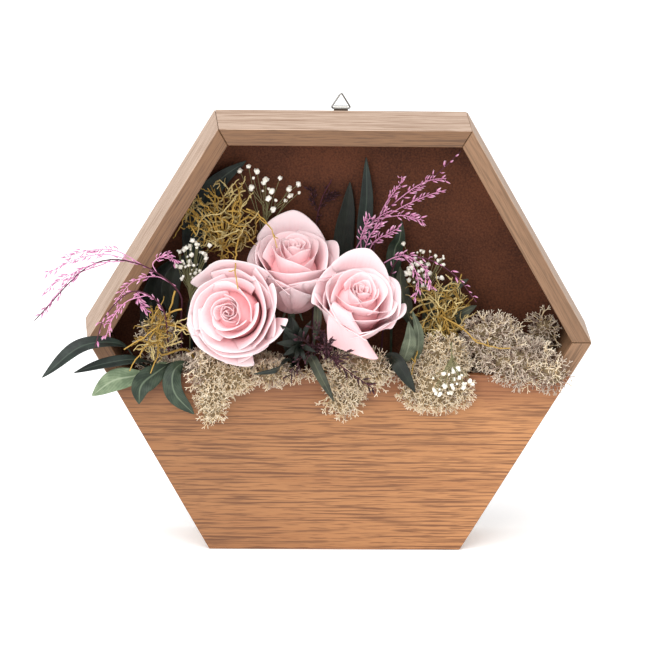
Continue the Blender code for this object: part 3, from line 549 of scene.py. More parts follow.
class MaterialShelf:
    """Makes each finish's material once."""

    def __init__(self) -> None:
        """Start with an empty shelf."""
        self.made: dict[Finish, Any] = {}

    def of(self, finish: Finish) -> Any:
        """Find or make a finish's material.

        Args:
            finish: The finish.

        Returns:
            Its material.
        """
        if finish not in self.made:
            self.made[finish] = finish.material()
        return self.made[finish]


MATERIALS = MaterialShelf()


@dataclass
class Strand:
    """A thin stalk through points in millimetres, with its radius at the root and at the tip."""

    points: list[Vector]
    root: float
    tip: float


def strand_shape(strands: Iterable[Strand], resolution: int = 0) -> Shape:
    """Turn strands into one shape of closed tubes.

    Args:
        strands: The strands.
        resolution: The curve's bevel resolution: 0 gives 4 sides and 1 gives 6.

    Returns:
        The shape, with one along value all over, so that it takes its finish's middle shade.
    """
    curve = bpy.data.curves.new("strands", "CURVE")
    curve.dimensions = "3D"
    curve.bevel_depth = 1.0
    curve.bevel_resolution = resolution
    curve.use_fill_caps = True
    for strand in strands:
        count = len(strand.points)
        spline = curve.splines.new("POLY")
        spline.points.add(count - 1)
        for i, point in enumerate(strand.points):
            t = i / (count - 1)
            spline.points[i].co = (*(point * MM), 1.0)
            spline.points[i].radius = (strand.root + (strand.tip - strand.root) * t) * MM
    holder = bpy.data.objects.new("strands", curve)
    bpy.context.scene.collection.objects.link(holder)
    graph = bpy.context.evaluated_depsgraph_get()
    mesh = bpy.data.meshes.new_from_object(holder.evaluated_get(graph))
    shape = Shape.read(mesh, np.full(len(mesh.vertices), STRAND_ALONG, dtype=np.float32))
    bpy.data.objects.remove(holder)
    bpy.data.curves.remove(curve)
    bpy.data.meshes.remove(mesh)
    return shape


def sheet_shape(columns: int, rows: int, place: Callable[[float, float], Vector]) -> Shape:
    """Shape a flat grid into a petal or a leaf blade.

    Args:
        columns: Faces across.
        rows: Faces along.
        place: Gives a point in millimetres from across, -1 to 1, and along, 0 to 1.

    Returns:
        The shape, with its along and across values.
    """
    grid = bmesh.new()
    bmesh.ops.create_grid(grid, x_segments=columns, y_segments=rows, size=1.0)
    along = []
    across = []
    for vertex in grid.verts:
        u, v = vertex.co.x, (vertex.co.y + 1) / 2
        vertex.co = place(u, v) * MM
        across.append(u)
        along.append(v)
    return Shape.take(grid, np.array(along, dtype=np.float32), np.array(across, dtype=np.float32))


def smooth_path(points: Sequence[Sequence[float]], count: int) -> list[Vector]:
    """Find evenly spaced points along a smooth curve.

    Args:
        points: The points that the curve passes through.
        count: How many spans are wanted.

    Returns:
        One point more than there are spans.
    """
    given = [Vector(p) for p in points]
    path = [given[0] * 2 - given[1], *given, given[-1] * 2 - given[-2]]
    spans = len(given) - 1
    fine = 12 * spans
    found = []
    for k in range(fine + 1):
        reach = k / fine * spans
        i = min(int(reach), spans - 1)
        t = reach - i
        a, b, c, d = path[i : i + 4]
        bend = (2 * a - 5 * b + 4 * c - d) * t * t + (3 * b - a - 3 * c + d) * t**3
        found.append(0.5 * (2 * b + (c - a) * t + bend))
    lengths = np.cumsum([0.0] + [(n - p).length for p, n in zip(found, found[1:])])
    wanted = np.linspace(0.0, lengths[-1], count + 1)
    table = np.array(found)
    even = np.stack([np.interp(wanted, lengths, table[:, k]) for k in range(3)], axis=1)
    return [Vector(p) for p in even]


def turned_to(direction: Vector, spin: float) -> Matrix:
    """A rotation that takes +Z to a direction, after a spin about it."""
    quaternion = direction.to_track_quat("Z", "Y") @ Quaternion((0, 0, 1), spin)
    return quaternion.to_matrix().to_4x4()


def thicken(piece: Any, thickness: float, levels: int) -> None:
    """Give a sheet its thickness, in millimetres, and smooth it."""
    solid = piece.modifiers.new("thickness", "SOLIDIFY")
    solid.thickness = thickness * MM
    solid.offset = 0.0
    smooth = piece.modifiers.new("smooth", "SUBSURF")
    smooth.levels = levels
    smooth.render_levels = levels


class Pocket:
    """The inside of the box, which the plants stay in or stand in front of."""

    @staticmethod
    def clear(point: Vector, gap: float = 0.6) -> bool:
        """Whether a point in millimetres is outside the wood and not behind the back panel."""
        x, y, z = point
        half = (SIDE - BOARD / math.cos(math.radians(30))) - abs(z - CENTRE_Z) / math.sqrt(3)
        if y < FRONT_Y - gap:
            return True
        if y > BACK_PANEL_Y - gap or abs(x) > half - gap:
            return False
        return y > PANEL_BACK_Y + gap or z > PANEL_TOP + gap


@dataclass
class BoxFrame:
    """The oak boards, the back panel and the hanger, which are the frame's own solids."""

    turns: tuple[tuple[str, float, dict], ...] = (
        ("board_top", 0.0, BROWN_OAK),
        ("board_bottom", 0.0, BROWN_OAK),
        ("board_upper_left", 60.0, BROWN_OAK),
        ("board_lower_right", 60.0, BLOND_OAK),
        ("board_upper_right", -60.0, BLOND_OAK),
        ("board_lower_left", -60.0, BROWN_OAK),
    )

    def dress(self) -> None:
        """Give each node its material; the grain runs along each board."""
        finishes: list[tuple[str, Finish]] = [
            (name, Oak(f"sanded oak {name}", 0.6, grain_turn=math.radians(turn), **tones))
            for name, turn, tones in self.turns
        ]
        finishes += [
            ("front_panel", PANEL_OAK),
            ("back_panel", HARDBOARD),
            ("foam_block", FOAM),
            ("hanger_strap", STEEL),
            ("hanger_ring", STEEL),
            ("hanger_screw", STEEL),
        ]
        for name, finish in finishes:
            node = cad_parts[name]
            material = MATERIALS.of(finish)
            if not node.material_slots:
                node.data.materials.append(material)
            for holder in node.material_slots:
                holder.material = material
            LOG.info("%s dressed in %s", name, finish.name)


@dataclass
class Rose:
    """A preserved rose head on its stem.

    Petals are given as angle, half of the angle wrapped, foot and rim as radius and height,
    how far the rim rolls out, and how far its middle stands up to a point.
    """

    name: str
    base: tuple[float, float, float]
    axis: tuple[float, float, float]
    stem_foot: tuple[float, float]
    start: float
    outer: tuple[tuple, ...]
    seed: int
    tall: float = 1.0
    folded: tuple = ()

    def axes(self) -> tuple[Vector, Vector, Vector]:
        """Two directions square to the flower's axis, and the axis."""
        axis = Vector(self.axis).normalized()
        side = Vector((1.0, 0.0, 0.0))
        side = (side - axis * side.dot(axis)).normalized()
        return side, axis.cross(side), axis

    def petal(self, angle: float, span: float, foot: tuple, rim: tuple, flare: float, point: float,
              spiral: float, lip: float, chance: random.Random) -> Shape:
        """Shape one petal.

        Args:
            angle: Where it stands round the axis, in degrees.
            span: Half of the angle that it wraps, in degrees.
            foot: Radius and height of its lower edge.
            rim: Radius and height of its upper edge.
            flare: How far the rim rolls out.
            point: How far the rim's middle stands up.
            spiral: How much further out one side edge lies than the other.
            lip: How far the last of the rim curls over.
            chance: Makes each petal's waves and crease its own.

        Returns:
            The petal's shape.
        """
        first, second, axis = self.axes()
        centre = Vector(self.base)
        waves = [chance.uniform(0, math.tau) for _ in range(3)]
        lean = chance.uniform(-1.4, 1.4)
        crease = chance.uniform(-0.7, 0.7)

        def place(u: float, v: float) -> Vector:
            """A point of the petal."""
            width = span * (0.30 + 0.70 * math.sin(math.pi / 2 * min(v * 1.5, 1.0)))
            turn = math.radians(angle + width * u)
            rolled = flare * max(0.0, (v - 0.5) / 0.5) ** 1.7 * (1 + 0.35 * u * u)
            curl = max(0.0, (v - 0.88) / 0.12)
            radius = foot[0] + (rim[0] - foot[0]) * math.sin(math.pi / 2 * v) ** 0.6 + rolled
            radius += spiral * u * v + lip * curl**1.5 * (0.4 + 0.6 * abs(u))
            radius += v**3 * (0.8 * math.sin(2.7 * u + waves[0]) + 0.4 * math.sin(6.4 * u + waves[1]))
            radius -= 0.7 * v * v * math.exp(-(((u - crease) / 0.17) ** 2))
            climb = (rim[1] - foot[1]) * self.tall
            height = foot[1] * self.tall + climb * v**1.2 - climb * 0.22 * abs(u) ** 2.4 * v * v
            height += point * (1 - abs(u)) ** 1.3 * v**3 - lip * 0.8 * curl**2 - 0.35 * rolled
            height += v**4 * (lean * u + 0.5 * math.sin(5.3 * u + waves[2]))
            outward = first * math.cos(turn) + second * math.sin(turn)
            return centre + (outward * radius + axis * height)

        return sheet_shape(16, 11, place)

    def folded_petal(self) -> Shape:
        """The outermost petal, which has folded back over its rim and hangs to a point."""
        left, right = (smooth_path(edge, FOLDED_SPANS) for edge in self.folded)

        def place(u: float, v: float) -> Vector:
            """A point of the petal."""
            share = (u + 1) / 2
            reach = v * FOLDED_SPANS
            i = min(int(reach), FOLDED_SPANS - 1)
            start = left[i].lerp(left[i + 1], reach - i)
            finish = right[i].lerp(right[i + 1], reach - i)
            bulge = 3.0 * math.sin(math.pi * share) + 0.6 * math.sin(5 * share + 4 * v)
            rolled = 1.8 * max(0.0, (share - 0.88) / 0.12) ** 1.5
            return start.lerp(finish, share) + Vector((0.2, -bulge, 0.2)) + Vector((0.4, 1.0, 0.4)) * rolled

        shape = sheet_shape(18, FOLDED_SPANS, place)
        # Painted light: along runs from near rim colour at the fold to foot colour at the point, so the petal
        # is painted lit at the top and shaded towards its point.
        shape.along = 0.95 - 0.35 * shape.along
        return shape

    def build(self) -> None:
        """Bud petals in a tight spiral, middle rings, the outer petals, and the stem."""
        chance = random.Random(self.seed)
        bundle = Bundle(self.name.replace("rose", "rose_petals"))
        for k in range(BUD_PETALS):
            share = k / (BUD_PETALS - 1)
            angle = self.start + LEAF_TURN * k
            rim = (1.0 + 4.4 * share, 42.5 + 0.6 * share)
            foot = (0.8 + 2.8 * share, 30.0 - 7.0 * share)
            # Inner bud petals carry a higher tone, so more painted shade deep in the bud.
            bundle.add(
                self.petal(angle, 125 - 35 * share, foot, rim, 0.1 + 0.9 * share, 0.3,
                           0.8 + 0.5 * share, 0.15, chance),
                tone=1.0 - 0.4 * share,
            )
        for ring, (count, foot, rim, span, flare, spiral, lip, tone) in enumerate(RINGS):
            for k in range(count):
                angle = self.start + 360 * k / count + 47 * ring + chance.uniform(-14, 14)
                top = (rim[0] + chance.uniform(-0.9, 0.9), rim[1] + chance.uniform(-1.2, 1.2))
                bundle.add(
                    self.petal(angle, span, foot, top, flare, 0.8, spiral, lip, chance),
                    tone=tone,
                )
        core = bmesh.new()
        bmesh.ops.create_icosphere(core, subdivisions=3, radius=1.0)
        bmesh.ops.scale(core, verts=core.verts[:], vec=(0.0145, 0.0145, 0.015 * self.tall))
        first, second, axis = self.axes()
        base = Vector(self.base)
        place = Matrix.Translation((base + axis * 21 * self.tall) * MM) @ turned_to(axis, 0.0)
        # The core carries the full tone, painted shade deep in the cup.
        bundle.add(Shape.take(core, np.zeros(len(core.verts), dtype=np.float32)), place, 1.0)
        if self.folded:
            # The folded petal's high tone darkens it as painted shade.
            bundle.add(self.folded_petal(), tone=1.8)
        for angle, span, foot, rim, flare, point in self.outer:
            bundle.add(
                self.petal(angle, span, foot, rim, flare, point, 1.3, 1.1, chance),
                tone=0.05,
            )
        head = bundle.build([PETAL])
        thicken(head, PETAL_THICKNESS, 1)
        foot_x, foot_y = self.stem_foot
        route = [(foot_x, foot_y, 80), (foot_x, foot_y, 96), base - axis * 8, base + axis * 6]
        green = Bundle(self.name.replace("rose", "rose_stem"))
        green.add(strand_shape([Strand(smooth_path(route, 14), 1.6, 2.4)], 2))
        outward = [first * math.cos(t) + second * math.sin(t) for t in (0.3, 1.6, 2.8, 4.1, 5.3)]
        calyx = [
            Strand([base + axis * 2, base + axis * 5 + out * 6, base - axis + out * 11], 1.6, 0.4)
            for out in outward
        ]
        green.add(strand_shape(calyx, 1))
        stem = green.build([GREEN_LEAF])
        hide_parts(self.name)


@dataclass
class Leaf:
    """A leaf on its stalk: a folded blade along a curve of points in millimetres."""

    name: str
    points: tuple
    half_width: float
    facing: tuple[float, float, float]
    finish: Finish
    slot: Slot = Slot.LEAF
    bare: float = 0.45
    others: tuple = ()

    def blade(self, points: tuple, half_width: float, bare: float) -> Shape:
        """Shape one blade with its stalk.

        Args:
            points: The points of its midrib, in millimetres.
            half_width: Half of its greatest width.
            bare: The share of its length that is stalk.

        Returns:
            The blade's shape.
        """
        path = smooth_path(points, BLADE_SPANS)
        facing = Vector(self.facing).normalized()

        def place(u: float, v: float) -> Vector:
            """A point of the blade."""
            reach = v * BLADE_SPANS
            i = min(int(reach), BLADE_SPANS - 1)
            point = path[i].lerp(path[i + 1], reach - i)
            heading = (path[min(i + 2, BLADE_SPANS)] - path[max(i - 1, 0)]).normalized()
            side = heading.cross(facing).normalized()
            normal = side.cross(heading)
            run = (v - bare) / (1 - bare)
            if run < 0:
                width = STALK_HALF_WIDTH
            else:
                width = max(0.2, half_width * math.sin(math.pi * min(0.05 + 0.95 * run, 1.0)) ** 0.8)
                width = max(width, STALK_HALF_WIDTH * (1 - run * 3))
            wave = 0.06 * width * math.sin(9 * v + 2.0 * u) * abs(u)
            lift = LEAF_FOLD * width * (1 - abs(u) ** 1.3)
            return point + side * u * width - normal * (lift + wave)

        return sheet_shape(8, 44, place)

    def build(self) -> None:
        """Build the leaf, with the smaller leaves of its sprig."""
        bundle = Bundle(self.name.replace("leaf", "blade"))
        bundle.add(self.blade(self.points, self.half_width, self.bare))
        for points, half_width, bare in self.others:
            bundle.add(self.blade(points, half_width, bare))
        blade = bundle.build([self.finish])
        thicken(blade, LEAF_THICKNESS, 1)
        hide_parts(self.name)


def over_edge(x_foot: float, x_edge: float, *rest: tuple) -> tuple:
    """The points of a stalk that leaves the foam and bends over the front panel's edge."""
    rise = ((x_foot, -9, 80), (x_foot, -9, 96), (x_foot, -11, 106), (x_edge, -18.5, 115.0))
    return (*rise, *rest)


def upright(x: float, y: float, *rest: tuple) -> tuple:
    """The points of a stalk that stands in the foam and goes on through the rest."""
    return ((x, y, 80), (x, y, 96), *rest)


@dataclass
class Greenery:
    """All the leaves of the arrangement."""

    def leaves(self) -> list[Leaf]:
        """The leaves, from left to right."""
        back = (0, -1, 0.1)
        return [
            Leaf("leaf_far_left", over_edge(-103, -119, (-130, -29, 130), (-154, -40, 132), (-177, -50, 115)),
                 5.6, (0, -0.5, 0.9), DARK_LEAF, bare=0.5),
            Leaf("leaf_left_low", over_edge(-98, -112, (-124, -31, 121), (-142, -38, 120), (-158, -43, 116)),
                 3.8, (0, -0.7, 0.7), DARK_LEAF, bare=0.5),
            Leaf("leaf_pale", over_edge(-93.5, -104.5, (-119, -27, 110), (-134, -32, 108), (-147, -37, 100)),
                 6.6, (0.2, -1, 0.3), PALE_LEAF, Slot.PALE_LEAF, 0.62),
            Leaf("leaf_drooping", over_edge(-88.5, -98, (-110, -29, 111), (-118, -34, 105), (-119, -34, 94)),
                 6.8, back, GREEN_LEAF, bare=0.6),
            Leaf("leaf_long", over_edge(-83, -91, (-99, -28, 112), (-98, -32, 100), (-86, -31, 87)),
                 6.0, (-0.3, -1, 0.1), GREEN_LEAF, bare=0.5),
            Leaf("leaf_upper_left", upright(-86, 13, (-86, 13.5, 190), (-74, 13, 216), (-56, 13, 231)),
                 7.5, (0, -1, 0.2), DARK_LEAF),
            Leaf("leaf_tall", upright(14, 11, (15, 12, 185), (16, 12, 210), (15, 12.5, 234)),
                 4.6, back, DARK_LEAF, bare=0.5),
            Leaf("leaf_behind", upright(-1, 14, (3, 14.5, 180), (5, 15, 200), (6, 15, 218)),
                 6.5, (0.1, -1, 0.1), LEAF_IN_SHADE),
            Leaf("leaf_left_inside", upright(-96, 9, (-110, 8, 132), (-108, 8, 156), (-97, 10, 172)),
                 7.5, (0.2, -1, 0.2), LEAF_IN_SHADE, bare=0.35, others=(
                     (((-96, 6, 118), (-98, 2, 138), (-100, -2, 158), (-92, -4, 178)), 6.0, 0.3),
                     (((-96, 4, 116), (-88, 0, 140), (-82, -2, 160), (-84, -4, 182)), 5.0, 0.3),
                     (((-98, 2, 114), (-108, -4, 126), (-114, -8, 138), (-112, -10, 150)), 5.0, 0.3),)),
            Leaf("leaf_right_inside", upright(52, 9, (56, 9, 138), (66, 9, 152), (78, 9, 160)),
                 5.5, (0, -1, 0.3), OLIVE_LEAF, others=(
                     (((52, 8, 116), (44, 4, 134), (38, 2, 152), (36, 0, 170)), 5.0, 0.3),
                     (((52, 6, 114), (60, 0, 128), (70, -4, 140), (82, -6, 148)), 4.5, 0.3),)),
            Leaf("leaf_grey_front", over_edge(31, 35, (38, -30, 122), (40, -41, 137), (38.5, -46.5, 150)),
                 4.4, back, GREY_LEAF, bare=0.5),
            Leaf("leaf_grey_back", over_edge(41, 43, (46, -25, 124), (46, -29, 138), (42, -29, 151)),
                 3.4, (0.3, -1, 0.1), GREY_LEAF, bare=0.5),
            Leaf("leaf_narrow", over_edge(-19, -19, (-18, -32, 124), (-12, -42, 114), (-4, -42, 99)),
                 3.2, (0.2, -1, 0.1), OLIVE_LEAF, bare=0.5, others=(
                     (((-17, -22, 120), (-16, -33, 134), (-14.5, -35, 146), (-14.5, -31, 166)), 2.6, 0.35),)),
            Leaf("leaf_under_left", over_edge(-34, -32, (-32, -30, 121), (-38, -44, 119), (-52, -47, 117)),
                 3.2, (0, -0.8, -0.5), DARK_LEAF, bare=0.5),
            Leaf("leaf_dark_right", over_edge(23, 26, (31, -38, 124), (38, -43, 115), (44, -43, 105)),
                 4.6, (0, -1, 0.2), LEAF_IN_SHADE, bare=0.5),
            Leaf("leaf_centre_dark", upright(-26, -5, (-26, -12, 118), (-29, -20, 130), (-30, -24, 146)),
                 5.5, (0.1, -1, 0.1), LEAF_IN_SHADE, others=self.sprig()),
            Leaf("leaf_round", upright(33, 11, (33, 11, 170), (36, 8, 184), (37, 8, 196)),
                 4.8, back, GREEN_LEAF, Slot.PALE_LEAF, 0.6),
        ]

    @staticmethod
    def sprig() -> tuple:
        """The small dark leaves that spread from one stalk between the roses."""
        tips = (
            ((-37, -46, 147), 2.4), ((-30, -47, 152), 2.2), ((-19, -46, 150), 1.8), ((-39, -46, 136), 2.6),
            ((-35, -45, 128), 2.2), ((-16, -47, 131), 1.8), ((-25, -48, 146), 1.6), ((-28, -46, 125), 1.8),
            ((-21, -46, 123), 1.5), ((-33, -44, 143), 2.0),
        )
        root = (-26, -14, 119)
        routes = (
            ((root, (-25, -32, 129), (-25 + 0.3 * (tip[0] + 25), -41, 0.6 * 133 + 0.4 * tip[2]), tip), wide)
            for tip, wide in tips
        )
        return tuple((route, wide, 0.5) for route, wide in routes)

    def build(self) -> None:
        """Build every leaf."""
        for leaf in self.leaves():
            leaf.build()


def shift(chance: random.Random, size: float) -> Vector:
    """A random step of up to a size along each axis."""
    return Vector([chance.uniform(-size, size) for _ in range(3)])


def wander(chance: random.Random, start: Vector, end: Vector, kinks: int, wobble: float) -> list[Vector]:
    """A kinked line from one point to another.

    Args:
        chance: The source of chance.
        start: Where it starts.
        end: Where it ends.
        kinks: How many bends lie between.
        wobble: How far each bend may lie off the line, in millimetres.

    Returns:
        The points.
    """
    points = [start]
    for k in range(1, kinks + 1):
        off = shift(chance, wobble)
        points.append(start.lerp(end, k / (kinks + 1)) + off)
    return [*points, end]


def in_egg(chance: random.Random, centre: Vector, radii: tuple, least: float = 0.0) -> Vector:
    """A random point in an egg shape, no nearer its middle than a share of its radii."""
    while True:
        spot = shift(chance, 1)
        if least <= spot.length <= 1.0:
            return centre + Vector([s * r for s, r in zip(spot, radii)])


@dataclass
class TwigTuft:
    """A tangle of gold dyed wiry twigs: a main stem with forking, kinked side twigs."""

    name: str
    stem: tuple
    centre: tuple[float, float, float]
    radii: tuple[float, float, float]
    count: int
    seed: int
    routes: tuple = ()

    @staticmethod
    def knotted(chance: random.Random, points: list[Vector], size: float = 0.45) -> list[Vector]:
        """Shift each point a little, because the twigs are knobbly."""
        return [p + shift(chance, size) for p in points]

    def build(self) -> None:
        """Grow the twigs and fork each of them four times."""
        chance = random.Random(self.seed)
        centre = Vector(self.centre)
        neck = centre + Vector((0, 0, -self.radii[2] * 0.9))
        bundle = Bundle(self.name.replace("twigs", "gold_twigs"))
        stem = smooth_path([*self.stem, neck, centre], 20)
        bundle.add(strand_shape([Strand(stem, 0.9, 0.6)], 1), tone=0.9)
        for _ in range(self.count):
            if chance.random() < 0.55:
                root = in_egg(chance, centre, self.radii)
            else:
                root = neck.lerp(centre, chance.random())
            end = in_egg(chance, centre, self.radii, 0.75)
            points = smooth_path(wander(chance, root, end, 3, 4.5), 14)
            if not all(Pocket.clear(p, 1.0) for p in points):
                continue
            strands = [Strand(self.knotted(chance, points), 0.55, 0.32)]
            for k in (4, 7, 10, 13):
                heading = (points[k] - points[k - 2]).normalized() * chance.uniform(2, 7)
                fork = points[k] + heading + shift(chance, 5)
                if Pocket.clear(fork, 1.0):
                    bend = smooth_path(wander(chance, points[k], fork, 1, 2.2), 5)
                    strands.append(Strand(self.knotted(chance, bend), 0.42, 0.26))
            # Two in five strands take the paler finish, as painted highlight.
            pale = 1 if chance.random() < 0.4 else 0
            bundle.add(strand_shape(strands), tone=chance.uniform(0.0, 1.5), slot=pale)
        for route in self.routes:
            path = smooth_path(route, 14)
            strands = [Strand(self.knotted(chance, path, 0.5), 0.6, 0.35)]
            for i in (4, 7, 10):
                side = path[i] + Vector([chance.uniform(-5, 5), chance.uniform(-2, 1), chance.uniform(-5, 5)])
                strands.append(Strand(wander(chance, path[i], side, 1, 0.8), 0.4, 0.28))
            bundle.add(strand_shape(strands), tone=chance.uniform(0.0, 0.4))
        piece = bundle.build([GOLD_TWIG, HIGHLIT_TWIG])
        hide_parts(self.name)


@dataclass
class BreathSpray:
    """Baby's breath: fine forked stalks, each with a small papery bloom."""

    name: str
    stem: tuple
    centre: tuple[float, float, float]
    radii: tuple[float, float, float]
    count: int
    bloom: float
    seed: int
    extra: tuple = ()

    def bloom_shape(self) -> Shape:
        """A crumpled bloom about 3 mm across."""
        body = bmesh.new()
        bmesh.ops.create_icosphere(body, subdivisions=2, radius=self.bloom * MM)
        for vertex in body.verts:
            swell = noise.noise(vertex.co * 1900.0 + Vector((self.seed, 0, 0)))
            vertex.co *= 1.0 + 0.8 * swell
        shape = Shape.take(body)
        shape.along = np.linalg.norm(shape.points, axis=1) / (self.bloom * MM * 1.3)
        return shape

    def build(self) -> None:
        """Fork the stalks out of the stem and put a bloom at each end."""
        chance = random.Random(self.seed)
        centre = Vector(self.centre)
        path = smooth_path(self.stem, 24)
        bundle = Bundle(self.name.replace("breath", "babys_breath"))
        bundle.add(strand_shape([Strand(path, 0.5, 0.3)], 0))
        bloom = self.bloom_shape()
        ends = [in_egg(chance, centre, self.radii, 0.3) for _ in range(self.count)]
        ends += [Vector(p) for p in self.extra]
        for end in ends:
            if not Pocket.clear(end, 1.5):
                continue
            root = path[chance.randint(21, 24)]
            bundle.add(strand_shape([Strand(wander(chance, root, end, 2, 0.9), 0.22, 0.16)]), tone=0.4)
            place = Matrix.Translation(end * MM) @ turned_to(shift(chance, 1), chance.uniform(0, 6))
            size = chance.uniform(0.45, 1.15)
            bundle.add(bloom, place @ Matrix.Scale(size, 4), chance.uniform(0.0, 0.6), 1)
        piece = bundle.build([BREATH_STEM, BREATH_BLOOM])
        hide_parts(self.name)


def spikelet_shape(length: float, radius: float) -> Shape:
    """A small spindle with its foot at the origin, in millimetres, pointing along +Z."""
    body = bmesh.new()
    bmesh.ops.create_icosphere(body, subdivisions=1, radius=1.0)
    for vertex in body.verts:
        t = (vertex.co.z + 1) / 2
        taper = 1.0 - 0.55 * t
        vertex.co = Vector((vertex.co.x * radius * taper, vertex.co.y * radius * taper, t * length)) * MM
    shape = Shape.take(body)
    shape.along = shape.points[:, 2] / (length * MM)
    return shape


@dataclass
class GrassPanicle:
    """A panicle of dyed grass: arching branches with spikelets that point along them."""

    name: str
    stem: tuple
    branches: tuple
    spikelets: int
    length: float
    spread: float
    seed: int
    finishes: tuple[Finish, Finish] = (PLUM_STALK, PINK_GRASS)
    stalk: float = 0.35
    seated: float = 0.35

    def build(self) -> None:
        """Grow the stem and the branches, and seat spikelets along the last part of each."""
        chance = random.Random(self.seed)
        bundle = Bundle(self.name.replace("grass", "pink_grass").replace("fern", "fern_twig"))
        bundle.add(strand_shape([Strand(smooth_path(self.stem, 40), 0.65, 0.3)], 1), tone=0.3)
        spikelet = spikelet_shape(self.length, self.length * 0.17)
        for branch in (self.stem, *self.branches):
            path = smooth_path(branch, 40)
            if branch is not self.stem:
                bundle.add(strand_shape([Strand(path, self.stalk, 0.2)], 0), tone=0.2, slot=1)
            first = int(40 * (self.seated if branch is not self.stem else 0.55))
            for k in range(self.spikelets):
                i = min(39, first + int((40 - first) * (k + chance.random()) / self.spikelets))
                heading = (path[i + 1] - path[i]).normalized()
                side = Vector([chance.uniform(-1, 1), chance.uniform(-0.6, 0.6), chance.uniform(-1, 1)])
                side = (side - heading * side.dot(heading)).normalized()
                aim = (heading + side * self.spread).normalized()
                foot = path[i] + side * chance.uniform(0.0, 1.8)
                bundle.add(strand_shape([Strand([path[i], foot + aim * 0.5], 0.18, 0.15)]), slot=1)
                size = chance.uniform(0.6, 1.2)
                place = Matrix.Translation(foot * MM) @ turned_to(aim, chance.uniform(0, 6))
                bundle.add(spikelet, place @ Matrix.Scale(size, 4), chance.uniform(0.0, 0.9), 1)
        piece = bundle.build(self.finishes)
        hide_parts(self.name)


def moss_tuft(seed: int, levels: int, forks: int, length: float, radius: float) -> Shape:
    """A tuft of forked moss with its root at the origin, pointing along +Z.

    Args:
        seed: Makes each tuft its own.
        levels: How many times it forks.
        forks: How many tips each fork has.
        length: The length of the first span, in millimetres.
        radius: The radius of the first span, in millimetres.

    Returns:
        The tuft's shape, with along running from its root to its highest tip.
    """
    chance = random.Random(seed)
    strands: list[Strand] = []

    def grow(foot: Vector, heading: Vector, level: int) -> None:
        """Grow one span and the spans that fork from its end."""
        reach = length * 0.82**level * chance.uniform(0.8, 1.2)
        end = foot + heading * reach
        strands.append(Strand([foot, end], radius * 0.86**level, radius * 0.86 ** (level + 1)))
        if level == levels:
            return
        spin = chance.uniform(0, math.tau)
        for k in range(forks):
            lean = chance.uniform(0.45, 0.95)
            turn = spin + math.tau * k / forks + chance.uniform(-0.4, 0.4)
            side = heading.orthogonal().normalized()
            side.rotate(Quaternion(heading, turn))
            grow(end, (heading + side * lean).normalized(), level + 1)

    grow(Vector((0, 0, 0)), Vector((0, 0, 1)), 0)
    shape = strand_shape(strands)
    tall = max(float(shape.points[:, 2].max()), 1e-6)
    shape.along = np.clip(np.linalg.norm(shape.points, axis=1) / tall, 0.0, 1.0)
    return shape


@dataclass
class MossClump:
    """A clump of reindeer moss: a shaded core with forked tufts all over it."""

    name: str
    spacing: float = 1.75
    grey: float = 0.0
    antlers: float = 0.0
    seed: int = 0
    wisps: tuple = ()

    def core(self) -> Any:
        """A copy of the clump's solid, moved in from its surface.

        Returns:
            The copy as a bmesh, with one point for each corner of the solid.
        """
        body = bmesh.new()
        body.from_mesh(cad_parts[self.name].data)
        bmesh.ops.remove_doubles(body, verts=body.verts[:], dist=0.00002)
        bmesh.ops.recalc_face_normals(body, faces=body.faces[:])
        bmesh.ops.smooth_vert(body, verts=body.verts[:], factor=0.5,
                              use_axis_x=True, use_axis_y=True, use_axis_z=True)
        body.normal_update()
        for vertex in body.verts:
            vertex.co -= vertex.normal * MOSS_DEPTH * MM
        body.normal_update()
        return body

    def build(self, tufts: Sequence[Shape], antlers: Sequence[Shape]) -> None:
        """Cover the core with tufts, keeping them clear of the wood.

        Args:
            tufts: Dense small tufts.
            antlers: Sparse long tufts.
        """
        chance = random.Random(self.seed)
        body = self.core()
        bundle = Bundle(self.name.replace("moss", "moss_tufts"))
        for face in body.faces:
            area = face.calc_area() / (MM * MM)
            wanted = area / self.spacing**2
            count = int(wanted) + (1 if chance.random() < wanted - int(wanted) else 0)
            corners = [v.co for v in face.verts]
            for _ in range(count):
                a, b = sorted((chance.random(), chance.random()))
                spot = corners[0] * a + corners[1] * (b - a) + corners[2] * (1 - b)
                sway = shift(chance, 1) * 0.55
                aim = (face.normal + sway + Vector((0, -0.15, 0))).normalized()
                long = chance.random() < self.antlers
                shape = chance.choice(antlers if long else tufts)
                size = chance.uniform(0.75, 1.25)
                tip = spot / MM + aim * float(shape.points[:, 2].max()) / MM * size
                if not Pocket.clear(tip, 0.2):
                    continue
                place = Matrix.Translation(spot) @ turned_to(aim, chance.uniform(0, math.tau))
                slot = 2 if chance.random() < self.grey else 1
                bundle.add(shape, place @ Matrix.Scale(size, 4), chance.uniform(0.0, 1.0), slot)
        for foot, end, count in self.wisps:
            for _ in range(count):
                off = Vector([chance.uniform(-1, 1), chance.uniform(-0.6, 2), chance.uniform(-0.6, 2.4)])
                spot = Vector(foot).lerp(Vector(end), chance.random()) + off
                aim = Vector((chance.uniform(-0.9, 0.9), -0.7, chance.uniform(-1.1, 0.5))).normalized()
                place = Matrix.Translation(spot * MM) @ turned_to(aim, chance.uniform(0, math.tau))
                shape = chance.choice(antlers if chance.random() < 0.25 else tufts)
                bundle.add(shape, place, chance.uniform(0.0, 1.0), 2 if chance.random() < 0.4 else 1)
        bundle.add(Shape.take(body), slot=0)
        piece = bundle.build([MOSS_CORE, REINDEER_MOSS, GREY_MOSS])
        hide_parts(self.name)


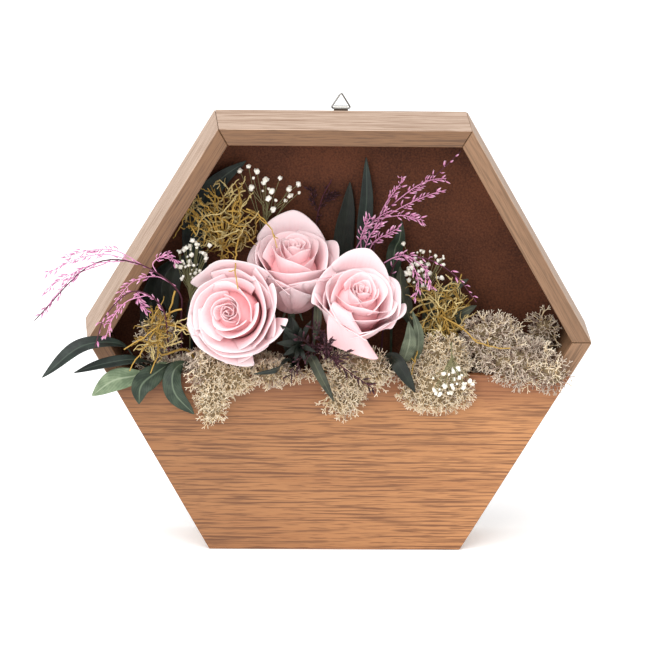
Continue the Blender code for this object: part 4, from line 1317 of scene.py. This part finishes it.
@dataclass
class MossBed:
    """All the moss."""

    clumps: tuple[MossClump, ...] = (
        MossClump("moss_left_back", grey=0.6, antlers=0.2, seed=1),
        MossClump("moss_left_front", grey=0.7, seed=2, wisps=(((-84, -30, 129), (-85, -32, 107), 44),)),
        MossClump("moss_hanging", seed=3),
        MossClump("moss_under_rose", grey=0.25, seed=4, wisps=(((-50, -25, 112), (-13, -25, 110.5), 70),)),
        MossClump("moss_centre", grey=0.1, antlers=0.1, seed=5,
                  wisps=(((27, -25, 112), (41, -25, 111), 26),)),
        MossClump("moss_front_right", grey=0.1, seed=6),
        MossClump("moss_right", spacing=2.1, grey=0.7, antlers=0.5, seed=7),
        MossClump("moss_right_back", spacing=2.0, grey=0.4, antlers=0.3, seed=8),
    )

    def build(self) -> None:
        """Make the tufts once and cover each clump."""
        tufts = [moss_tuft(100 + k, 2, 2, 2.2, 0.26) for k in range(8)]
        antlers = [moss_tuft(200 + k, 3, 2, 3.2, 0.36) for k in range(6)]
        for clump in self.clumps:
            clump.build(tufts, antlers)


@dataclass
class Arrangement:
    """The roses and the sprays."""

    def roses(self) -> list[Rose]:
        """The three roses with their outer petals."""
        left = (
            (98, 50, (7, 3), (26.0, 31.0), 4.5, 5.0),
            (170, 50, (7, 3), (20.5, 34.0), 3.5, 3.0),
            (240, 52, (7, 3), (24.0, 32.0), 4.5, 5.0),
            (305, 50, (7, 3), (24.5, 31.0), 4.5, 5.0),
            (15, 54, (7, 3), (23.0, 34.0), 4.0, 3.0),
        )
        centre = (
            (92, 54, (7, 3), (21.5, 46.0), 2.5, 5.5),
            (168, 50, (7, 3), (20.0, 40.0), 3.0, 3.0),
            (238, 56, (7, 3), (20.5, 34.0), 3.5, 1.0),
            (300, 54, (7, 3), (21.5, 35.0), 3.5, 1.0),
            (10, 44, (7, 3), (22.0, 38.5), 3.5, 4.0),
        )
        right = (
            (84, 50, (7, 3), (21.5, 46.0), 2.5, 6.0),
            (155, 50, (7, 3), (17.8, 36.0), 2.5, 2.0),
            (310, 52, (7, 3), (21.5, 34.0), 3.5, 4.0),
            (15, 52, (7, 3), (22.0, 36.0), 3.5, 4.0),
            (235, 50, (7, 3), (20.5, 33.0), 3.0, 2.0),
        )
        folded = (
            ((-1, -36, 156), (-7, -46, 161), (-10, -48, 149), (-9, -45, 135)),
            ((8, -43, 153), (3.5, -52, 155), (11, -53.5, 142), (20.5, -52, 127)),
        )
        return [
            Rose("rose_left", (-55.5, -9, 142.5), (-0.32, -0.90, 0.29), (-55, 3), 20, left, 5),
            Rose("rose_centre", (-27.5, 2, 142), (0.0, -0.35, 0.94), (-26, 7), 66, centre, 9, 1.16),
            Rose("rose_right", (3.5, -19, 136), (0.2, -0.55, 0.81), (6, 0), 80, right, 14, 0.95, folded),
        ]

    def tufts(self) -> list[TwigTuft]:
        """The three tufts of gold twigs."""
        return [
            TwigTuft("twigs_upper_left", upright(-76, 7), (-70, 1, 199), (24, 9, 25), 46, 3,
                     (((-60, 0, 190), (-62, -12, 182), (-64, -34, 178), (-63, -48, 170)),
                      ((-56, 0, 205), (-48, -3, 201), (-42, -12, 196), (-38, -21, 187)),
                      ((-84, 2, 200), (-90, 0, 205), (-93, 0, 198), (-99, 1, 186)))),
            TwigTuft("twigs_lower_left", (*upright(-78, -8), (-84, -10, 112), (-92, -20, 124)),
                     (-107, -27, 138), (18, 6, 17), 16, 11,
                     (((-88, -24, 136), (-104, -26, 141), (-118, -32, 134), (-128, -34, 128)),
                      ((-94, -24, 150), (-104, -24, 146), (-116, -30, 128), (-125, -34, 115)),
                      ((-98, -22, 160), (-101, -22, 150), (-104, -24, 136), (-112, -30, 112)))),
            TwigTuft("twigs_right", upright(56, 2), (60, -8, 146), (21, 8, 22), 40, 23,
                     (((60, -12, 143), (72, -18, 138), (84, -26, 130), (101, -32, 129)),
                      ((50, -14, 140), (48, -20, 130), (44, -30, 120), (41, -36, 112)),
                      ((56, -8, 150), (64, -4, 152), (70, -2, 160), (73, -2, 166)))),
        ]

    def sprays(self) -> list[BreathSpray]:
        """The four sprays of baby's breath."""
        return [
            BreathSpray("breath_upper", upright(-45, 13, (-47, 13, 170), (-43, 10, 200)), (-40, 6, 214),
                        (16, 5, 13), 18, 1.6, 5,
                        ((-60, 8, 226), (-55, 8, 229), (-50, 8, 226), (-52, 7, 222))),
            BreathSpray("breath_left", upright(-88, 2, (-88, 0, 140), (-89, -6, 158)), (-86, -8, 175),
                        (13, 5, 14), 46, 1.35, 8),
            BreathSpray("breath_right", upright(46, 12, (47, 10, 130), (51, 6, 152)), (52, 2, 169),
                        (14, 5, 14), 38, 1.35, 13, ((38, 4, 183),)),
            BreathSpray("breath_low", upright(66, -9, (66, -13, 112), (66, -22, 130), (65, -41, 122)),
                        (64, -41, 110), (14, 4, 11), 26, 1.35, 21),
        ]

    def panicles(self) -> list[GrassPanicle]:
        """The pink grasses and the purple fern twigs."""
        left = upright(-93, -2.5, (-94, -14, 140), (-97, -26, 162), (-122, -38, 182), (-150, -48, 183),
                       (-182, -60, 153))
        left_branches = (
            ((-122, -38, 182), (-140, -44, 189), (-160, -50, 187), (-176, -54, 179)),
            ((-118, -36, 180), (-134, -40, 190), (-150, -46, 192), (-166, -50, 188)),
            ((-128, -40, 184), (-148, -48, 184), (-166, -52, 176), (-177, -55, 169)),
            ((-140, -45, 184), (-158, -50, 178), (-170, -54, 166), (-178, -57, 156)),
            ((-110, -33, 175), (-112, -30, 180), (-104, -26, 184), (-98, -22, 178)),
        )
        low = upright(-100, -2.5, (-102, -22, 128), (-107, -38, 156), (-124, -42, 166), (-140, -46, 152),
                      (-146, -50, 134))
        low_branches = (
            ((-116, -40, 163), (-128, -44, 160), (-136, -46, 150), (-140, -47, 138)),
            ((-112, -39, 161), (-120, -38, 164), (-120, -36, 158), (-114, -34, 151)),
            ((-98, -20, 163), (-110, -28, 171), (-124, -36, 170), (-134, -42, 160)),
        )
        high = upright(19, 5.5, (19, 6, 160), (24, 2, 198), (38, -3, 216), (54, -8, 228), (69, -13, 245))
        high_branches = (
            ((20, 5, 190), (26, 0, 208), (34, -5, 222), (35, -8, 228)),
            ((24, 2, 198), (36, -4, 208), (50, -8, 216), (60, -10, 220)),
            ((26, 1, 200), (36, -5, 203), (44, -8, 202), (49, -9, 201)),
            ((30, 0, 208), (42, -6, 220), (52, -9, 226), (61, -12, 228)),
            ((10, 4, 180), (16, 2, 192), (22, 0, 200), (30, -4, 206)),
            ((14, 0, 176), (15, -4, 184), (18, -6, 192), (24, -8, 200)),
            ((16, 0, 176), (20, -3, 186), (28, -6, 192), (34, -8, 196)),
            ((13, 0, 178), (12, -4, 188), (14, -6, 196), (17, -8, 203)),
        )
        right = upright(26, 7, (29, 5, 150), (35, -4, 176), (52, -12, 178), (68, -20, 170), (80, -26, 156))
        right_branches = (
            ((38, -6, 178), (44, -14, 172), (46, -18, 162), (43, -20, 155)),
            ((40, -8, 179), (48, -12, 174), (52, -16, 168), (54, -18, 161)),
            ((26, -6, 174), (32, -8, 178), (38, -10, 180), (42, -12, 179)),
        )
        fern = upright(-14, 14.5, (-14, 15.5, 180), (-11, 15.5, 205), (-5, 15.5, 219))
        fern_branches = (
            ((-12, 15.5, 198), (-15, 15, 206), (-17, 15, 214)),
            ((-11, 15.5, 202), (-7, 15, 208), (-2, 15, 211)),
        )
        front = upright(-13, -9, (-12, -11, 108), (-10, -22, 126), (-3, -47, 124), (20, -52, 109))
        front_branches = (
            ((-10, -24, 126), (-18, -38, 132), (-26, -45, 140)),
            ((-9, -26, 127), (-12, -40, 138), (-18, -46, 147)),
            ((-8, -28, 127), (-10, -52, 135), (-8, -58, 143)),
            ((-8, -28, 126), (-6, -53, 129), (2, -59, 135)),
            ((-10, -26, 126), (-22, -42, 128), (-32, -46, 114)),
        )
        plum = (PLUM_STALK, FERN_NEEDLE)
        return [
            GrassPanicle("grass_left_high", left, left_branches, 26, 3.6, 0.45, 31),
            GrassPanicle("grass_left_low", low, low_branches, 22, 3.8, 0.5, 37),
            GrassPanicle("grass_right_high", high, high_branches, 20, 4.2, 0.7, 41),
            GrassPanicle("grass_right_low", right, right_branches, 16, 4.0, 0.55, 43),
            GrassPanicle("fern_back", fern, fern_branches, 24, 3.6, 0.9, 51, plum, 0.3),
            GrassPanicle("fern_front", front, front_branches, 34, 4.4, 0.9, 53, plum, 0.35, 0.1),
        ]

    def build(self) -> None:
        """Build the roses, the twigs and the sprays."""
        for part in (*self.roses(), *self.tufts(), *self.sprays(), *self.panicles()):
            part.build()


@dataclass
class Studio:
    """A plain pale floor, soft light and the camera, which looks 17 degrees down from the front."""

    azimuth: float = -3.7758
    elevation: float = 16.7037
    roll: float = 1.4646
    distance: float = 4.0439
    aim: tuple[float, float, float] = (-0.0107, -0.022, 0.1416)
    lens: float = 381.26

    def camera(self) -> None:
        """Place the camera."""
        a, e = math.radians(self.azimuth), math.radians(self.elevation)
        back = Vector((math.sin(a) * math.cos(e), -math.cos(a) * math.cos(e), math.sin(e)))
        data = bpy.data.cameras.new("camera")
        data.lens = self.lens
        data.sensor_width = 36.0
        data.clip_end = 50.0
        holder = bpy.data.objects.new("camera", data)
        holder.location = Vector(self.aim) + back * self.distance
        facing = (-back).to_track_quat("-Z", "Y")
        turned = facing @ Quaternion((0, 0, 1), math.radians(self.roll))
        holder.rotation_mode = "QUATERNION"
        holder.rotation_quaternion = turned
        bpy.context.scene.collection.objects.link(holder)
        bpy.context.scene.camera = holder

    def floor(self) -> None:
        """A matt white floor, wide enough to fill the view."""
        body = bmesh.new()
        bmesh.ops.create_grid(body, x_segments=1, y_segments=1, size=12.0)
        bmesh.ops.translate(body, verts=body.verts[:], vec=(0, 0, -0.0002))
        mesh = bpy.data.meshes.new("floor")
        body.to_mesh(mesh)
        body.free()
        material = bpy.data.materials.new("white paper floor")
        material.use_nodes = True
        shader = material.node_tree.nodes["Principled BSDF"]
        shader.inputs["Base Color"].default_value = linear("#FBFBFB")
        shader.inputs["Emission Color"].default_value = linear("#FFFFFF")
        shader.inputs["Emission Strength"].default_value = 0.2
        shader.inputs["Roughness"].default_value = 0.9
        mesh.materials.append(material)
        floor = bpy.data.objects.new("floor", mesh)
        bpy.context.scene.collection.objects.link(floor)

    def lights(self) -> None:
        """A bright white surround, a large overhead light and a soft front light."""
        world = bpy.data.worlds.new("surround")
        world.use_nodes = True
        world.node_tree.nodes["Background"].inputs[0].default_value = (1.0, 1.0, 1.0, 1.0)
        world.node_tree.nodes["Background"].inputs[1].default_value = 0.8
        bpy.context.scene.world = world
        bpy.context.scene.view_settings.view_transform = "Standard"
        for name, place, target, size, power in (
            ("overhead", (-0.3, -0.5, 1.9), (0, 0, 0.1), 1.2, 26.0),
            ("front", (-0.9, -2.2, 1.1), (0, 0, 0.12), 1.0, 26.0),
        ):
            data = bpy.data.lights.new(name, "AREA")
            data.size = size
            data.energy = power
            lamp = bpy.data.objects.new(name, data)
            lamp.location = place
            lamp.rotation_euler = (Vector(target) - Vector(place)).to_track_quat("-Z", "Y").to_euler()
            bpy.context.scene.collection.objects.link(lamp)

    def build(self) -> None:
        """Set up the camera, the floor and the lights."""
        self.camera()
        self.floor()
        self.lights()


def main() -> None:
    """Build the scene from the camera to the smallest tufts."""
    logging.basicConfig(level=logging.INFO, format="%(name)s %(message)s")
    Studio().build()
    BoxFrame().dress()
    Arrangement().build()
    Greenery().build()
    MossBed().build()


if __name__ == "__main__":
    main()
